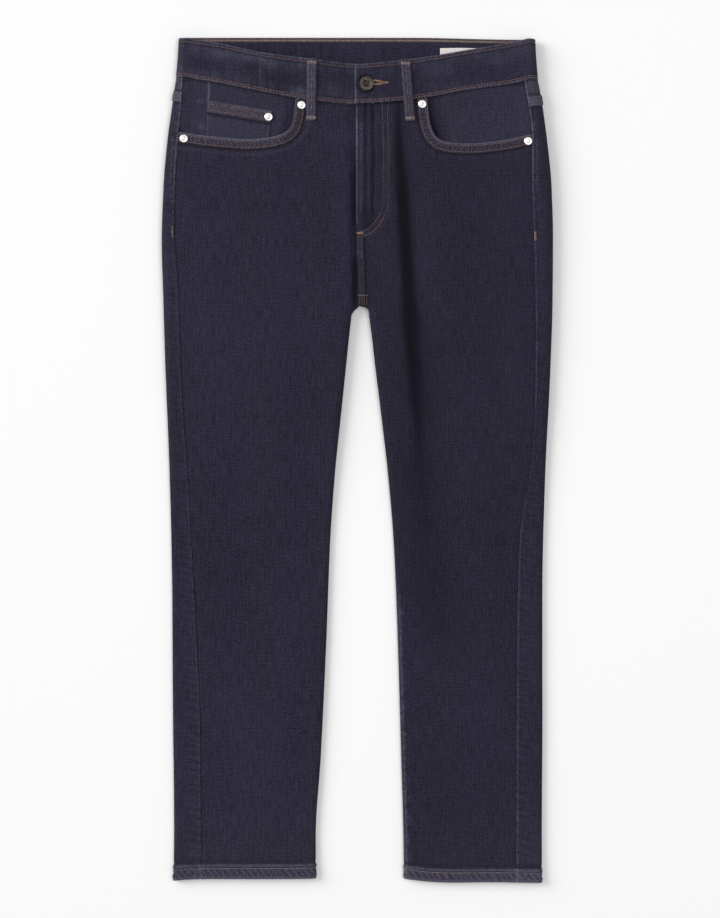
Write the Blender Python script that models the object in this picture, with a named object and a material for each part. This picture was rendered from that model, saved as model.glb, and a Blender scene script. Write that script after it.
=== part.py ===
"""Slim fit jeans, laid flat on their back.

The frame is +X to the wearer's left, +Y towards the waist and +Z up off the surface. The origin is under
the middle of the outline. Sizes are in millimetres and become metres where a mesh is made. A place on the
garment is (x, h): x is measured from the middle, and h is the height above the lower hem.

Both layers of cloth come from two height fields. top() is the outside of the upper layer and under() is the
outside of the lower one. They meet in a rolled edge along the outline. Every panel is a strip of those
fields between two seams, given the wall of its cloth.
"""

import math

import bmesh
import bpy

MM = 0.001
LENGTH = 1005.4
MIDDLE = LENGTH / 2

CLOTH = 1.2
HEM_WALL = 2.5
HEM_DEPTH = 13.0
BAND_WALL = 2.4
BAND_PROUD = 0.6
SEAM_GAP = 0.3
BAND_GAP = 0.45
LAYER_GAP = 0.5
EDGE_PARTING = 0.36
HEM_PARTING = 1.0

HIP_ROW = 850.0
UPPER_STEPS = 4
BACK_UPPER_STEPS = 2

# The round top of the space between the legs.
CROTCH_X, CROTCH_H, CROTCH_R = 3.6, 675.0, 10.4

# Where the outline lies, on the wearer's right and left.
SIDES = (
    ("height", "right", "left"),
    (0, -219.6, 220.3),
    (60, -218.7, 220.2),
    (190, -219.9, 221.2),
    (340, -221.0, 221.0),
    (480, -223.8, 224.2),
    (600, -228.4, 229.8),
    (690, -231.4, 232.8),
    (765, -233.4, 233.4),
    (830, -231.1, 231.4),
    (885, -226.3, 226.0),
    (925, -220.7, 220.6),
    (958, -216.3, 215.4),
    (1006, -213.0, 212.2),
)

# The inner edge of each leg, up to the crotch.
INSEAMS = (
    ("height", "right", "left"),
    (0, -49.4, 55.6),
    (50, -49.6, 55.0),
    (150, -43.5, 52.3),
    (290, -36.8, 48.2),
    (400, -32.6, 43.6),
    (480, -27.2, 37.2),
    (560, -19.0, 28.0),
    (610, -13.8, 21.8),
    (645, -10.2, 17.8),
    (675, -6.8, 14.0),
)

# The side seams, which lie on the front of the legs.
SIDE_SEAMS = (
    ("height", "right", "left"),
    (0, -186.6, 190.0),
    (180, -187.8, 190.4),
    (310, -193.4, 191.3),
    (415, -199.0, 194.6),
    (460, -201.4, 201.0),
    (510, -204.5, 208.0),
    (560, -207.9, 212.2),
    (650, -212.0, 212.8),
    (715, -214.2, 212.2),
    (775, -218.6, 209.8),
    (835, -217.4, 207.3),
    (890, -214.0, 206.4),
    (920, -211.0, 202.6),
    (960, -208.0, 196.0),
)

# The seam from the crotch to the end of the fly, and the fly's edge above it.
FRONT_SEAM = (
    ("height", "x"),
    (675, 1.2),
    (710, 0.4),
    (740, -1.0),
    (775, -2.3),
    (960, -4.4),
)

# How high the upper layer stands, and how wide the rolled edge of the outline is.
LOFT = (
    ("height", "rise", "roll"),
    (0, 6.9, 4.3),
    (16, 6.8, 4.5),
    (40, 6.3, 5.6),
    (400, 6.3, 6.0),
    (450, 6.9, 6.5),
    (540, 9.6, 8.5),
    (620, 11.4, 10.0),
    (700, 13.0, 12.0),
    (780, 14.3, 13.0),
    (870, 14.6, 13.0),
    (930, 14.4, 11.5),
    (960, 13.8, 10.0),
    (1006, 12.8, 9.0),
)

# The waistband's lower and upper edges on the front, right side then left.
BAND_RIGHT = (
    ("x", "bottom", "top"),
    (-213.0, 960.2, 1004.2),
    (-175.0, 954.0, 998.0),
    (-114.0, 941.8, 987.0),
    (-62.0, 932.6, 980.4),
    (-4.0, 928.0, 973.6),
    (30.0, 927.6, 972.6),
)
BAND_LEFT = (
    ("x", "bottom", "top"),
    (-5.0, 928.0, 972.2),
    (22.0, 929.4, 975.0),
    (60.0, 934.2, 979.8),
    (114.0, 944.2, 987.8),
    (166.0, 950.6, 996.8),
    (212.0, 957.0, 1003.4),
)
BAND_BACK_BOTTOM = 960.4

# The yoke seam across the back.
YOKE_SEAM = (
    ("reach", "right", "left"),
    (0.0, 889.0, 889.0),
    (110.0, 911.0, 908.0),
    (222.0, 930.0, 925.0),
)

# The pocket mouths, from the waistband round to the side seam.
MOUTH_RIGHT = (
    ("x", "height"),
    (-73.6, 932.0),
    (-76.0, 914.0),
    (-80.6, 900.0),
    (-89.8, 891.7),
    (-106.5, 886.3),
    (-129.5, 884.1),
    (-167.0, 886.8),
    (-213.6, 892.6),
)
MOUTH_LEFT = (
    ("x", "height"),
    (83.8, 936.0),
    (86.0, 915.0),
    (92.0, 895.0),
    (101.7, 884.8),
    (117.0, 880.8),
    (140.4, 880.2),
    (170.0, 884.0),
    (206.0, 891.0),
)

# Soft troughs in the upper layer: where each runs, its half width and its depth.
FOLDS = (
    ("name", "low", "high", "x_low", "x_middle", "x_high", "width", "depth"),
    ("left valley", 340, 930, 90.0, 60.0, 46.0, 8.0, 4.6),
    ("crotch groove", 676, 775, -5.0, -4.0, -4.5, 4.0, 3.2),
)

LOOP_WIDTH = 11.4
LOOP_WALL = 1.5
LOOP_BOW = 1.2
FRONT_LOOPS = (
    ("name", "x_top", "x_bottom", "top", "bottom"),
    ("right", -55.3, -55.3, 980.0, 908.0),
    ("left", 57.4, 62.4, 979.0, 907.7),
)
BACK_LOOPS = (
    ("name", "x", "top", "bottom"),
    ("side_right", -165.0, 1003.0, 936.0),
    ("back", 0.0, 1003.0, 936.0),
    ("side_left", 165.0, 1003.0, 936.0),
)
BACK_LOOP_WALL = 1.2
UNDER_LIFT = 1.6
SEAT_START = (640.0, 715.0)

BACK_POCKET = (
    ("x", "height"),
    (34.0, 868.0),
    (168.0, 880.0),
    (163.0, 752.0),
    (101.0, 724.0),
    (39.0, 740.0),
)
BACK_POCKET_WALL = 1.2

FACING_WALL = 1.0
FACING_SINK = {-1: 2.8, 1: 1.7}
COIN_SINK = 1.5
COIN_WALL = 1.0
COIN_LEFT_EDGE = -102.5
COIN_RIGHT_EDGE = -178.0
COIN_TOP_LEFT, COIN_TOP_RIGHT = 917.2, 929.2
POCKET_FLOOR = 866.0

FLY_END = 772.0
UNDERLAP = 10.5
UNDERLAP_DIP = 1.7
BAND_DIP = 1.9
BAND_RISE = 1.0

RIVET_R = 4.9
RIVETS = (
    ("name", "x", "height"),
    ("mouth_right", -67.9, 925.6),
    ("side_right", -207.4, 885.4),
    ("coin", -107.6, 911.9),
    ("mouth_left", 76.4, 927.2),
    ("side_left", 200.8, 883.4),
)

BUTTON_X, BUTTON_H = 10.2, 951.4
BUTTON_R = 8.75
SHANK_R = 2.6
HOLE_R = 3.5

ZIP_X, ZIP_LOW, ZIP_HIGH = 14.5, 782.0, 921.0
ZIP_HALF = 13.0
ZIP_SINK = UNDERLAP_DIP + CLOTH + LAYER_GAP
ZIP_WALL = 1.0

LABEL_LOW, LABEL_HIGH = 965.0, 993.5
LABEL_NEAR, LABEL_FAR = 97.5, 141.0
LABEL_WALL = 0.5

RIGHT, LEFT = -1, 1
SIDE_NAMES = {RIGHT: "right", LEFT: "left"}


# ---------------------------------------------------------------- curves and tables


def column(table, name):
    place = table[0].index(name)
    return [row[place] for row in table[1:]]


def smooth_curve(xs, ys):
    """A curve through the points that never swings past them."""
    steps = [b - a for a, b in zip(xs, xs[1:])]
    slopes = [(b - a) / step for a, b, step in zip(ys, ys[1:], steps)]
    tangents = [slopes[0]]
    for before, after in zip(slopes, slopes[1:]):
        same_way = before * after > 0
        tangents.append(2 * before * after / (before + after) if same_way else 0.0)
    tangents.append(slopes[-1])

    def value(x):
        x = min(max(x, xs[0]), xs[-1])
        k = 0
        while k < len(steps) - 1 and x > xs[k + 1]:
            k += 1
        t = (x - xs[k]) / steps[k]
        rise = t * t * (3 - 2 * t)
        lead = t * (1 - t) ** 2 * steps[k] * tangents[k]
        tail = t * t * (t - 1) * steps[k] * tangents[k + 1]
        return ys[k] + (ys[k + 1] - ys[k]) * rise + lead + tail

    return value


def table_curve(table, across, name):
    return smooth_curve(column(table, across), column(table, name))


def ramp(value, low, high):
    """0 below low, 1 above high, and a smooth step between."""
    t = min(max((value - low) / (high - low), 0.0), 1.0)
    return t * t * (3 - 2 * t)


def mix(a, b, t):
    return a + (b - a) * t


def spread(start, end, count):
    return [mix(start, end, k / (count - 1)) for k in range(count)]


side_edge = {s: table_curve(SIDES, "height", SIDE_NAMES[s]) for s in (RIGHT, LEFT)}
inseam = {s: table_curve(INSEAMS, "height", SIDE_NAMES[s]) for s in (RIGHT, LEFT)}
side_seam = {s: table_curve(SIDE_SEAMS, "height", SIDE_NAMES[s]) for s in (RIGHT, LEFT)}
front_seam = table_curve(FRONT_SEAM, "height", "x")
loft_rise = table_curve(LOFT, "height", "rise")
loft_roll = table_curve(LOFT, "height", "roll")
band_bottom = {
    RIGHT: table_curve(BAND_RIGHT, "x", "bottom"),
    LEFT: table_curve(BAND_LEFT, "x", "bottom"),
}
band_top = {
    RIGHT: table_curve(BAND_RIGHT, "x", "top"),
    LEFT: table_curve(BAND_LEFT, "x", "top"),
}
yoke_seam = {s: table_curve(YOKE_SEAM, "reach", SIDE_NAMES[s]) for s in (RIGHT, LEFT)}
fold_rows = [dict(zip(FOLDS[0], row)) for row in FOLDS[1:]]


# ---------------------------------------------------------------- the two layers


def crotch_distance(x, h):
    """How far a place is from the space between the legs."""
    if h > CROTCH_H:
        return math.hypot(x - CROTCH_X, h - CROTCH_H) - CROTCH_R
    if x < CROTCH_X:
        return inseam[RIGHT](h) - x
    return x - inseam[LEFT](h)


def edge_roll(x, h):
    """0 on the outline and 1 where the cloth lies level, along a quarter of an ellipse."""
    outer = min(x - side_edge[RIGHT](h), side_edge[LEFT](h) - x)
    distance = max(min(outer, crotch_distance(x, h)), 0.0)
    turn = min(distance / loft_roll(h), 1.0)
    return math.sqrt(1 - (1 - turn) ** 2)


def fold_path(fold, h):
    t = (h - fold["low"]) / (fold["high"] - fold["low"])
    t = min(max(t, 0.0), 1.0)
    lower = mix(fold["x_low"], fold["x_middle"], t)
    upper = mix(fold["x_middle"], fold["x_high"], t)
    return mix(lower, upper, t)


def fold_depth(x, h):
    depth = 0.0
    for fold in fold_rows:
        reach = (fold["high"] - fold["low"]) / 4
        fade = ramp(h, fold["low"], fold["low"] + reach * 1.5)
        fade *= 1 - ramp(h, fold["high"] - reach, fold["high"])
        across = (x - fold_path(fold, h)) / fold["width"]
        depth += fold["depth"] * fade * math.exp(-across * across)
    return depth


def parting(h):
    """The gap between the two layers along the outline, wider where the hem is thick."""
    return mix(HEM_PARTING, EDGE_PARTING, ramp(h, 24, 60))


def top(x, h):
    """The outside of the upper layer."""
    rise = loft_rise(h)
    level = rise - fold_depth(x, h)
    foot = (rise + parting(h)) / 2
    return mix(foot, level, edge_roll(x, h))


def under(x, h):
    """The outside of the lower layer. The seat lies on its back pockets and belt loops."""
    foot = (loft_rise(h) - parting(h)) / 2
    return mix(foot, UNDER_LIFT * ramp(h, *SEAT_START), edge_roll(x, h))


def hem_line(x, h):
    """The hems aren't quite level: this lifts their low rows, and fades out above them."""
    if x < CROTCH_X:
        lift = mix(2.6, 7.0, (x - side_edge[RIGHT](0)) / 170)
    else:
        lift = mix(4.2, 0.0, (x - inseam[LEFT](0)) / 165)
    return max(lift, 0.0) * (1 - ramp(h, 0, 150))


def wall_at(h):
    return HEM_WALL if h < HEM_DEPTH else CLOTH


def inner_edge(side, h):
    """Where a panel ends towards the middle: its leg's inner edge, the crotch, then the middle seam."""
    if h <= CROTCH_H:
        return inseam[side](h)
    seam = front_seam(h) + side * SEAM_GAP / 2
    reach = CROTCH_R**2 - (h - CROTCH_H) ** 2
    if reach <= 0:
        return seam
    arc = CROTCH_X + side * math.sqrt(reach)
    return max(arc, seam) if side == LEFT else min(arc, seam)


INSEAM_TURN = 52.0


def inseam_turn(side, h):
    """How far round the inner edge the inseam lies: 0 is on the edge, and more is on the front."""
    return INSEAM_TURN * (1 - ramp(h, 290, 475)) if side == LEFT else 0.0


def inseam_gap(side, h):
    """Half the gap at the inseam, as a turn. It takes more in the thick hem, and where the seam slants."""
    share = inseam_turn(side, h) / INSEAM_TURN
    return 3.0 + 3.6 * share + 20.0 * share * (1 - share) ** 2


# ---------------------------------------------------------------- meshes


def sub(a, b):
    return (a[0] - b[0], a[1] - b[1], a[2] - b[2])


def cross(a, b):
    return (
        a[1] * b[2] - a[2] * b[1],
        a[2] * b[0] - a[0] * b[2],
        a[0] * b[1] - a[1] * b[0],
    )


def unit(a):
    size = math.sqrt(sum(c * c for c in a))
    return tuple(c / size for c in a)


def end_direction(first, second, third):
    """The direction in which a curve through three points leaves the first."""
    near, far = math.dist(first, second), math.dist(first, second) + math.dist(second, third)
    step, reach = sub(second, first), sub(third, first)
    return tuple(a * far / near - b * near / far for a, b in zip(step, reach))


def grid_normal(grid, i, j):
    """The direction off the cloth at one point of a grid, from its neighbours."""
    row, last_i, last_j = grid[i], len(grid) - 1, len(grid[0]) - 1
    if j == 0:
        along = end_direction(row[0], row[1], row[2])
    elif j == last_j:
        back = end_direction(row[j], row[j - 1], row[j - 2])
        along = tuple(-c for c in back)
    else:
        along = sub(row[j + 1], row[j - 1])
    up = sub(grid[min(i + 1, last_i)][j], grid[max(i - 1, 0)][j])
    return unit(cross(along, up))


def build(name, points, faces, material):
    """One object from points in millimetres, with its faces pointing out."""
    mesh = bpy.data.meshes.new(name)
    mesh.from_pydata([(x * MM, (h - MIDDLE) * MM, z * MM) for x, h, z in points], [], faces)
    bm = bmesh.new()
    bm.from_mesh(mesh)
    bmesh.ops.recalc_face_normals(bm, faces=bm.faces)
    bm.to_mesh(mesh)
    bm.free()
    mesh.shade_smooth()
    mesh.set_sharp_from_angle(angle=math.radians(50))
    mesh.materials.append(material)
    thing = bpy.data.objects.new(name, mesh)
    bpy.context.scene.collection.objects.link(thing)
    return thing


def cloth(name, grid, walls, material):
    """A wall of cloth: the grid is its outside, and each row has its own thickness."""
    rows, columns = len(grid), len(grid[0])
    outer, inner = [], []
    for i in range(rows):
        for j in range(columns):
            normal = grid_normal(grid, i, j)
            point = grid[i][j]
            outer.append(point)
            inner.append(tuple(c - n * walls[i] for c, n in zip(point, normal)))
    size = rows * columns
    faces = []
    for i in range(rows - 1):
        for j in range(columns - 1):
            a = i * columns + j
            quad = (a, a + 1, a + columns + 1, a + columns)
            faces.append(quad)
            faces.append(tuple(size + k for k in reversed(quad)))
    rim = [j for j in range(columns)]
    rim += [i * columns + columns - 1 for i in range(1, rows)]
    rim += [(rows - 1) * columns + j for j in range(columns - 2, -1, -1)]
    rim += [i * columns for i in range(rows - 2, 0, -1)]
    for a, b in zip(rim, rim[1:] + rim[:1]):
        faces.append((b, a, size + a, size + b))
    return build(name, outer + inner, faces, material)


def turned(name, centre, profile, sides, material):
    """A round piece standing on its axis, from rows of (radius, height) that start and end on the axis."""
    points, faces = [], []
    for radius, z in profile:
        for k in range(sides):
            angle = 2 * math.pi * k / sides
            x = centre[0] + radius * math.cos(angle)
            h = centre[1] + radius * math.sin(angle)
            points.append((x, h, centre[2] + z))
    for ring in range(len(profile) - 1):
        for k in range(sides):
            a, b = ring * sides + k, ring * sides + (k + 1) % sides
            faces.append((a, b, b + sides, a + sides))
    faces.append(tuple(reversed(range(sides))))
    faces.append(tuple(len(points) - sides + k for k in range(sides)))
    return build(name, points, faces, material)


def plate(name, outline, low, high, material):
    """A flat piece with the outline given, between two heights."""
    count = len(outline)
    points = [(x, h, low) for x, h in outline] + [(x, h, high) for x, h in outline]
    faces = [tuple(reversed(range(count))), tuple(range(count, 2 * count))]
    for k in range(count):
        n = (k + 1) % count
        faces.append((k, n, n + count, k + count))
    return build(name, points, faces, material)


def make_material(name, colour, roughness, metallic=0.0):
    material = bpy.data.materials.new(name)
    material.use_nodes = True
    shader = material.node_tree.nodes["Principled BSDF"]
    shader.inputs["Base Color"].default_value = (*colour, 1.0)
    shader.inputs["Roughness"].default_value = roughness
    shader.inputs["Metallic"].default_value = metallic
    return material


# ---------------------------------------------------------------- fronts


def front_inner(side, h):
    """The right front runs on under the left one beside the fly."""
    edge = inner_edge(side, h)
    if side == RIGHT:
        edge += UNDERLAP * ramp(h, FLY_END, FLY_END + 14)
    return edge


def fly_dip(x, h):
    return UNDERLAP_DIP * ramp(x, -22, -8) * ramp(h, FLY_END - 28, FLY_END - 8)


ROLL_STEPS = (0, 25, 50, 90)


def front_stations(side, h):
    """The columns of a front across one row, from the middle to the side seam."""
    roll = loft_roll(h)
    start = inseam_turn(side, h)
    turns = [mix(start + inseam_gap(side, h), 90, step / 90) for step in ROLL_STEPS]
    inner = front_inner(side, h)
    stations = [inner + side * roll * (1 - math.cos(math.radians(a))) for a in turns]
    outer = side_seam[side](h) - side * SEAM_GAP / 2
    if side == LEFT:
        valley = fold_path(fold_rows[0], h)
        room = valley - stations[-1]
        stations += [valley - min(d, room * d / 32) for d in (26, 14, 7, 0)]
        stations += [valley + d for d in (7, 14)]
        stations += [mix(stations[-1], outer, t) for t in (0.2, 0.34, 0.48, 0.62, 0.8, 1.0)]
    else:
        stations += [mix(stations[-1], outer, t) for t in (0.1, 0.2, 0.3, 0.4, 0.52, 0.66, 0.82, 1.0)]
    return stations


MOUTH_COLUMNS = {RIGHT: 6, LEFT: 6}


def mouth_points(side, count):
    """Places along the pocket mouth, evenly spaced, from the waistband to the side seam."""
    table = MOUTH_RIGHT if side == RIGHT else MOUTH_LEFT
    xs, hs = column(table, "x"), column(table, "height")
    along = [0.0]
    for k in range(1, len(xs)):
        along.append(along[-1] + math.hypot(xs[k] - xs[k - 1], hs[k] - hs[k - 1]))
    x_at, h_at = smooth_curve(along, xs), smooth_curve(along, hs)
    return [(x_at(s), h_at(s)) for s in spread(0, along[-1], count)]


def front_crown(side, stations):
    """The upper end of each column: along the waistband, then round the pocket mouth."""
    at_mouth = MOUTH_COLUMNS[side] + 1
    crown = []
    mouth = mouth_points(side, at_mouth)
    start = front_inner(side, 925)
    waist_count = len(stations) - at_mouth
    first = stations[0]
    reach = stations[waist_count] - first
    for x in stations[:waist_count]:
        place = mix(start, mouth[0][0], (x - first) / reach)
        crown.append((place, band_bottom[side](place) - BAND_GAP))
    corner = mouth[0][0]
    crown.append((corner, band_bottom[side](corner) - BAND_GAP))
    for x, h in mouth[1:-1]:
        crown.append((x, h))
    x, h = mouth[-1]
    crown.append((side_seam[side](h) - side * SEAM_GAP * 1.5, h))
    return crown


LEG_ROWS = (0, 6, 13, 24, 60, 110, 170, 230, 290, 340, 385, 430, 475, 520, 565, 610, 645, 664, 675)
CROTCH_ROWS = (680, 683.5, 685.6, 688, 693, 702, 718, 738, 758, 772, 786, 815, HIP_ROW)


def front_panel(side, material):
    grid, walls = [], []
    for h in LEG_ROWS + CROTCH_ROWS:
        row = []
        for x in front_stations(side, h):
            place = h + hem_line(x, h)
            z = top(x, place)
            if side == RIGHT:
                z -= fly_dip(x, h)
            row.append((x, place, z))
        grid.append(row)
        walls.append(wall_at(h))
    base = front_stations(side, HIP_ROW)
    crown = front_crown(side, base)
    for step in range(1, UPPER_STEPS + 1):
        t = step / UPPER_STEPS
        row = []
        for x, (crown_x, crown_h) in zip(base, crown):
            px, ph = mix(x, crown_x, t), mix(HIP_ROW, crown_h, t)
            z = top(px, ph)
            if side == RIGHT:
                z -= fly_dip(px, ph)
            row.append((px, ph, z))
        grid.append(row)
        walls.append(CLOTH)
    if side == RIGHT:
        grid = [row[::-1] for row in grid]
    return cloth(f"front_{SIDE_NAMES[side]}", grid, walls, material)


# ---------------------------------------------------------------- backs and yokes


def ring_row(side, h):
    """One row of a back, from the side seam round the outer edge, under the leg and to the middle."""
    roll = loft_roll(h)
    edge = side_edge[side](h)
    seam = side_seam[side](h) + side * SEAM_GAP / 2
    inner = inner_edge(side, h)
    turn = inseam_turn(side, h)
    row = []

    def rolled(origin, way, angle):
        x = origin + way * roll * (1 - math.cos(math.radians(angle)))
        place = h + hem_line(x, h)
        face = top if angle > 0 else under
        z = loft_rise(h) / 2 if angle == 0 else face(x, place)
        row.append((x, place, z))

    def level(x, face):
        place = h + hem_line(x, h)
        row.append((x, place, face(x, place)))

    for angle in (90, 60, 36, 20, 9):
        level(mix(edge, seam, 1 - math.cos(math.radians(angle))), top)
    for angle in (0, -30, -60, -90):
        rolled(edge, -side, angle)
    start, end = edge - side * roll, inner + side * roll
    for t in (0.1, 0.2, 0.35, 0.5, 0.65, 0.8, 0.9):
        level(mix(start, end, t), under)
    for angle in (-90, -50, -25):
        rolled(inner, side, angle)
    last_turn = turn - inseam_gap(side, h)
    rolled(inner, side, mix(-25, last_turn, 0.5))
    rolled(inner, side, last_turn)
    return row


def back_panel(side, material):
    grid, walls = [], []
    for h in LEG_ROWS + CROTCH_ROWS:
        grid.append(ring_row(side, h))
        walls.append(wall_at(h))
    heads = [h - SEAM_GAP / 2 for h in yoke_line(side)]
    for step in range(1, BACK_UPPER_STEPS + 1):
        row = []
        for k, head in enumerate(heads):
            target = mix(HIP_ROW, head, step / BACK_UPPER_STEPS)
            row.append(ring_row(side, target)[k])
        grid.append(row)
        walls.append(CLOTH)
    return cloth(f"back_{SIDE_NAMES[side]}", faced_out(grid, side), walls, material)


def faced_out(grid, side):
    """Rows that run from the left seam outwards would face in, so they are turned about."""
    return grid if side == LEFT else [row[::-1] for row in grid]


def yoke_line(side):
    """The height of the yoke seam at each column of a back."""
    return [yoke_seam[side](abs(x)) for x, h, z in ring_row(side, 925)]


def band_foot(side, x, share):
    """The waistband's lower edge, where share is 0 on the back and 1 on the front."""
    return mix(BAND_BACK_BOTTOM, band_bottom[side](x), share)


YOKE_STEPS = 2


def yoke_panel(side, material):
    feet = [h + SEAM_GAP / 2 for h in yoke_line(side)]
    heads = []
    for x, h, z in ring_row(side, 957):
        share = min(max(2 * z / loft_rise(h) - 0.5, 0.0), 1.0)
        heads.append(band_foot(side, x, share) - BAND_GAP)
    grid = []
    for step in range(YOKE_STEPS + 1):
        row = []
        for k, (foot, head) in enumerate(zip(feet, heads)):
            row.append(ring_row(side, mix(foot, head, step / YOKE_STEPS))[k])
        grid.append(row)
    walls = [CLOTH] * (YOKE_STEPS + 1)
    return cloth(f"yoke_{SIDE_NAMES[side]}", faced_out(grid, side), walls, material)


# ---------------------------------------------------------------- waistband and loops


def band_left_rise(x):
    return BAND_RISE * (1 - ramp(x, 30, 60))


def band_right_dip(x):
    return BAND_DIP * ramp(x, -34, -12)


LEFT_BAND_XS = (-5, 2, 10, 18, 26, 36, 48, 60, 75, 95, 120, 145, 170, 190)
BACK_BAND_XS = (170, 110, 55, 0, -55, -110, -170)
RIGHT_BAND_XS = (-190, -170, -145, -120, -90, -62, -45, -34, -26, -18, -12, -5, 6, 16, 26)
EDGE_TURNS = (90, 62, 38, 18, 0, -18, -38, -62, -90)


def band_row(t):
    """The waistband at one share of its height: left front, left edge, back, right edge, right front."""
    row = []

    for x in LEFT_BAND_XS:
        h = mix(band_bottom[LEFT](x), band_top[LEFT](x), t)
        row.append((x, h, top(x, h) + BAND_PROUD + band_left_rise(x)))
    row += band_turn(LEFT, EDGE_TURNS, t)
    h = mix(BAND_BACK_BOTTOM, LENGTH, t)
    for x in BACK_BAND_XS:
        row.append((x, h, under(x, h)))
    row += band_turn(RIGHT, EDGE_TURNS[::-1], t)
    for x in RIGHT_BAND_XS:
        h = mix(band_bottom[RIGHT](x), band_top[RIGHT](x), t)
        row.append((x, h, top(x, h) + BAND_PROUD - band_right_dip(x)))
    return row


def band_turn(side, turns, t):
    """The band going round one side of the garment."""
    points = []
    for angle in turns:
        share = (1 + math.sin(math.radians(angle))) / 2
        x = side_edge[side](LENGTH)
        foot = band_foot(side, x, min(max(2 * share - 0.5, 0.0), 1.0))
        head = mix(LENGTH, band_top[side](x), share)
        h = mix(foot, head, t)
        x = side_edge[side](h) - side * loft_roll(h) * (1 - math.cos(math.radians(angle)))
        if angle == 0:
            z = loft_rise(h) / 2
        elif angle > 0:
            z = top(x, h) + BAND_PROUD * math.sin(math.radians(angle))
        else:
            z = under(x, h)
        points.append((x, h, z))
    return points


def buttonhole_outline():
    """A keyhole: round at the button and drawn out to a point away from the edge."""
    points = []
    for k in range(11):
        angle = math.radians(40 + 280 * k / 10)
        points.append((BUTTON_X + HOLE_R * math.cos(angle), BUTTON_H + HOLE_R * math.sin(angle)))
    points.append((BUTTON_X + 22, BUTTON_H + 0.3))
    points.append((BUTTON_X + 22, BUTTON_H + 1.3))
    return points


def waistband(material):
    grid = [band_row(t) for t in (0.0, 0.5, 1.0)]
    band = cloth("waistband", grid, [BAND_WALL] * 3, material)
    outside = top(BUTTON_X, BUTTON_H) + BAND_PROUD + BAND_RISE
    low = outside - BAND_WALL - LAYER_GAP / 2
    cutter = plate("buttonhole_cutter", buttonhole_outline(), low, outside + 3, material)
    cutter.hide_render = True
    cutter.display_type = "WIRE"
    cut = band.modifiers.new("buttonhole", "BOOLEAN")
    cut.operation = "DIFFERENCE"
    cut.solver = "EXACT"
    cut.object = cutter
    return band


def front_loop(spec, material):
    side = RIGHT if spec["x_top"] < 0 else LEFT
    seam = band_bottom[side](spec["x_top"])
    low, high = spec["bottom"], spec["top"]
    rows = (
        (low, 0.0),
        (low + 8, 0.2),
        (seam - 3, BAND_PROUD),
        (mix(seam, high, 0.3), BAND_PROUD + LOOP_BOW),
        (mix(seam, high, 0.7), BAND_PROUD + LOOP_BOW),
        (high - 7, BAND_PROUD + 0.3),
        (high, BAND_PROUD),
    )
    grid = []
    for h, lift in rows:
        middle = mix(spec["x_bottom"], spec["x_top"], (h - low) / (high - low))
        row = []
        for across in (-0.5, 0.0, 0.5):
            x = middle + across * LOOP_WIDTH
            row.append((x, h, top(x, h) + lift + LAYER_GAP + LOOP_WALL))
        grid.append(row)
    return cloth(f"belt_loop_front_{spec['name']}", grid, [LOOP_WALL] * len(rows), material)


def back_loop(spec, material):
    x, half = spec["x"], LOOP_WIDTH / 2
    low, high = spec["bottom"], spec["top"]
    outline = [(x - half, low), (x + half, low), (x + half, high), (x - half, high)]
    return plate(f"belt_loop_{spec['name']}", outline, 0.0, BACK_LOOP_WALL, material)


def rows_of(table):
    return [dict(zip(table[0], row)) for row in table[1:]]


# ---------------------------------------------------------------- pockets


def pocket_facing(side, material):
    near = -60.0 if side == RIGHT else 70.0
    grid = []
    for t in (0.0, 0.25, 0.5, 0.75, 1.0):
        row = []
        for across in spread(0, 1, 9):
            far = side_seam[side](mix(POCKET_FLOOR, 955, t)) - side * (SEAM_GAP / 2 + 0.2)
            x = mix(near, far, across)
            h = mix(POCKET_FLOOR, band_bottom[side](x) - BAND_GAP, t)
            row.append((x, h, top(x, h) - FACING_SINK[side]))
        grid.append(row)
    if side == RIGHT:
        grid = [row[::-1] for row in grid]
    name = f"pocket_facing_{SIDE_NAMES[side]}"
    return cloth(name, grid, [FACING_WALL] * len(grid), material)


def coin_pocket(material):
    grid = []
    for t in (0.0, 0.33, 0.66, 1.0):
        row = []
        for across in spread(0, 1, 6):
            outer = COIN_RIGHT_EDGE - 1.6 * (1 - t)
            inner = COIN_LEFT_EDGE - 6.0 * (1 - t)
            x = mix(outer, inner, across)
            head = mix(COIN_TOP_RIGHT, COIN_TOP_LEFT, across)
            h = mix(POCKET_FLOOR + 2, head, t)
            row.append((x, h, top(x, h) - COIN_SINK))
        grid.append(row)
    return cloth("coin_pocket", grid, [COIN_WALL] * len(grid), material)


def back_pocket(side, material):
    outline = [(side * x, h) for x, h in BACK_POCKET[1:]]
    return plate(f"back_pocket_{SIDE_NAMES[side]}", outline, 0.0, BACK_POCKET_WALL, material)


# ---------------------------------------------------------------- fastenings and label


def seat_height(x, h, reach):
    """The highest place of the upper layer under a round piece."""
    around = [(x, h)]
    for k in range(8):
        angle = math.pi * k / 4
        around.append((x + reach * math.cos(angle), h + reach * math.sin(angle)))
    return max(top(px, ph) for px, ph in around)


def rivet(spec, material):
    x, h = spec["x"], spec["height"]
    seat = seat_height(x, h, RIVET_R) + SEAM_GAP
    if spec["name"] == "coin":
        seat -= COIN_SINK
    profile = (
        (RIVET_R, 0.0),
        (RIVET_R, 0.6),
        (RIVET_R * 0.82, 1.1),
        (RIVET_R * 0.36, 1.2),
        (RIVET_R * 0.26, 1.8),
    )
    return turned(f"rivet_{spec['name']}", (x, h, seat), profile, 14, material)


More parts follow.
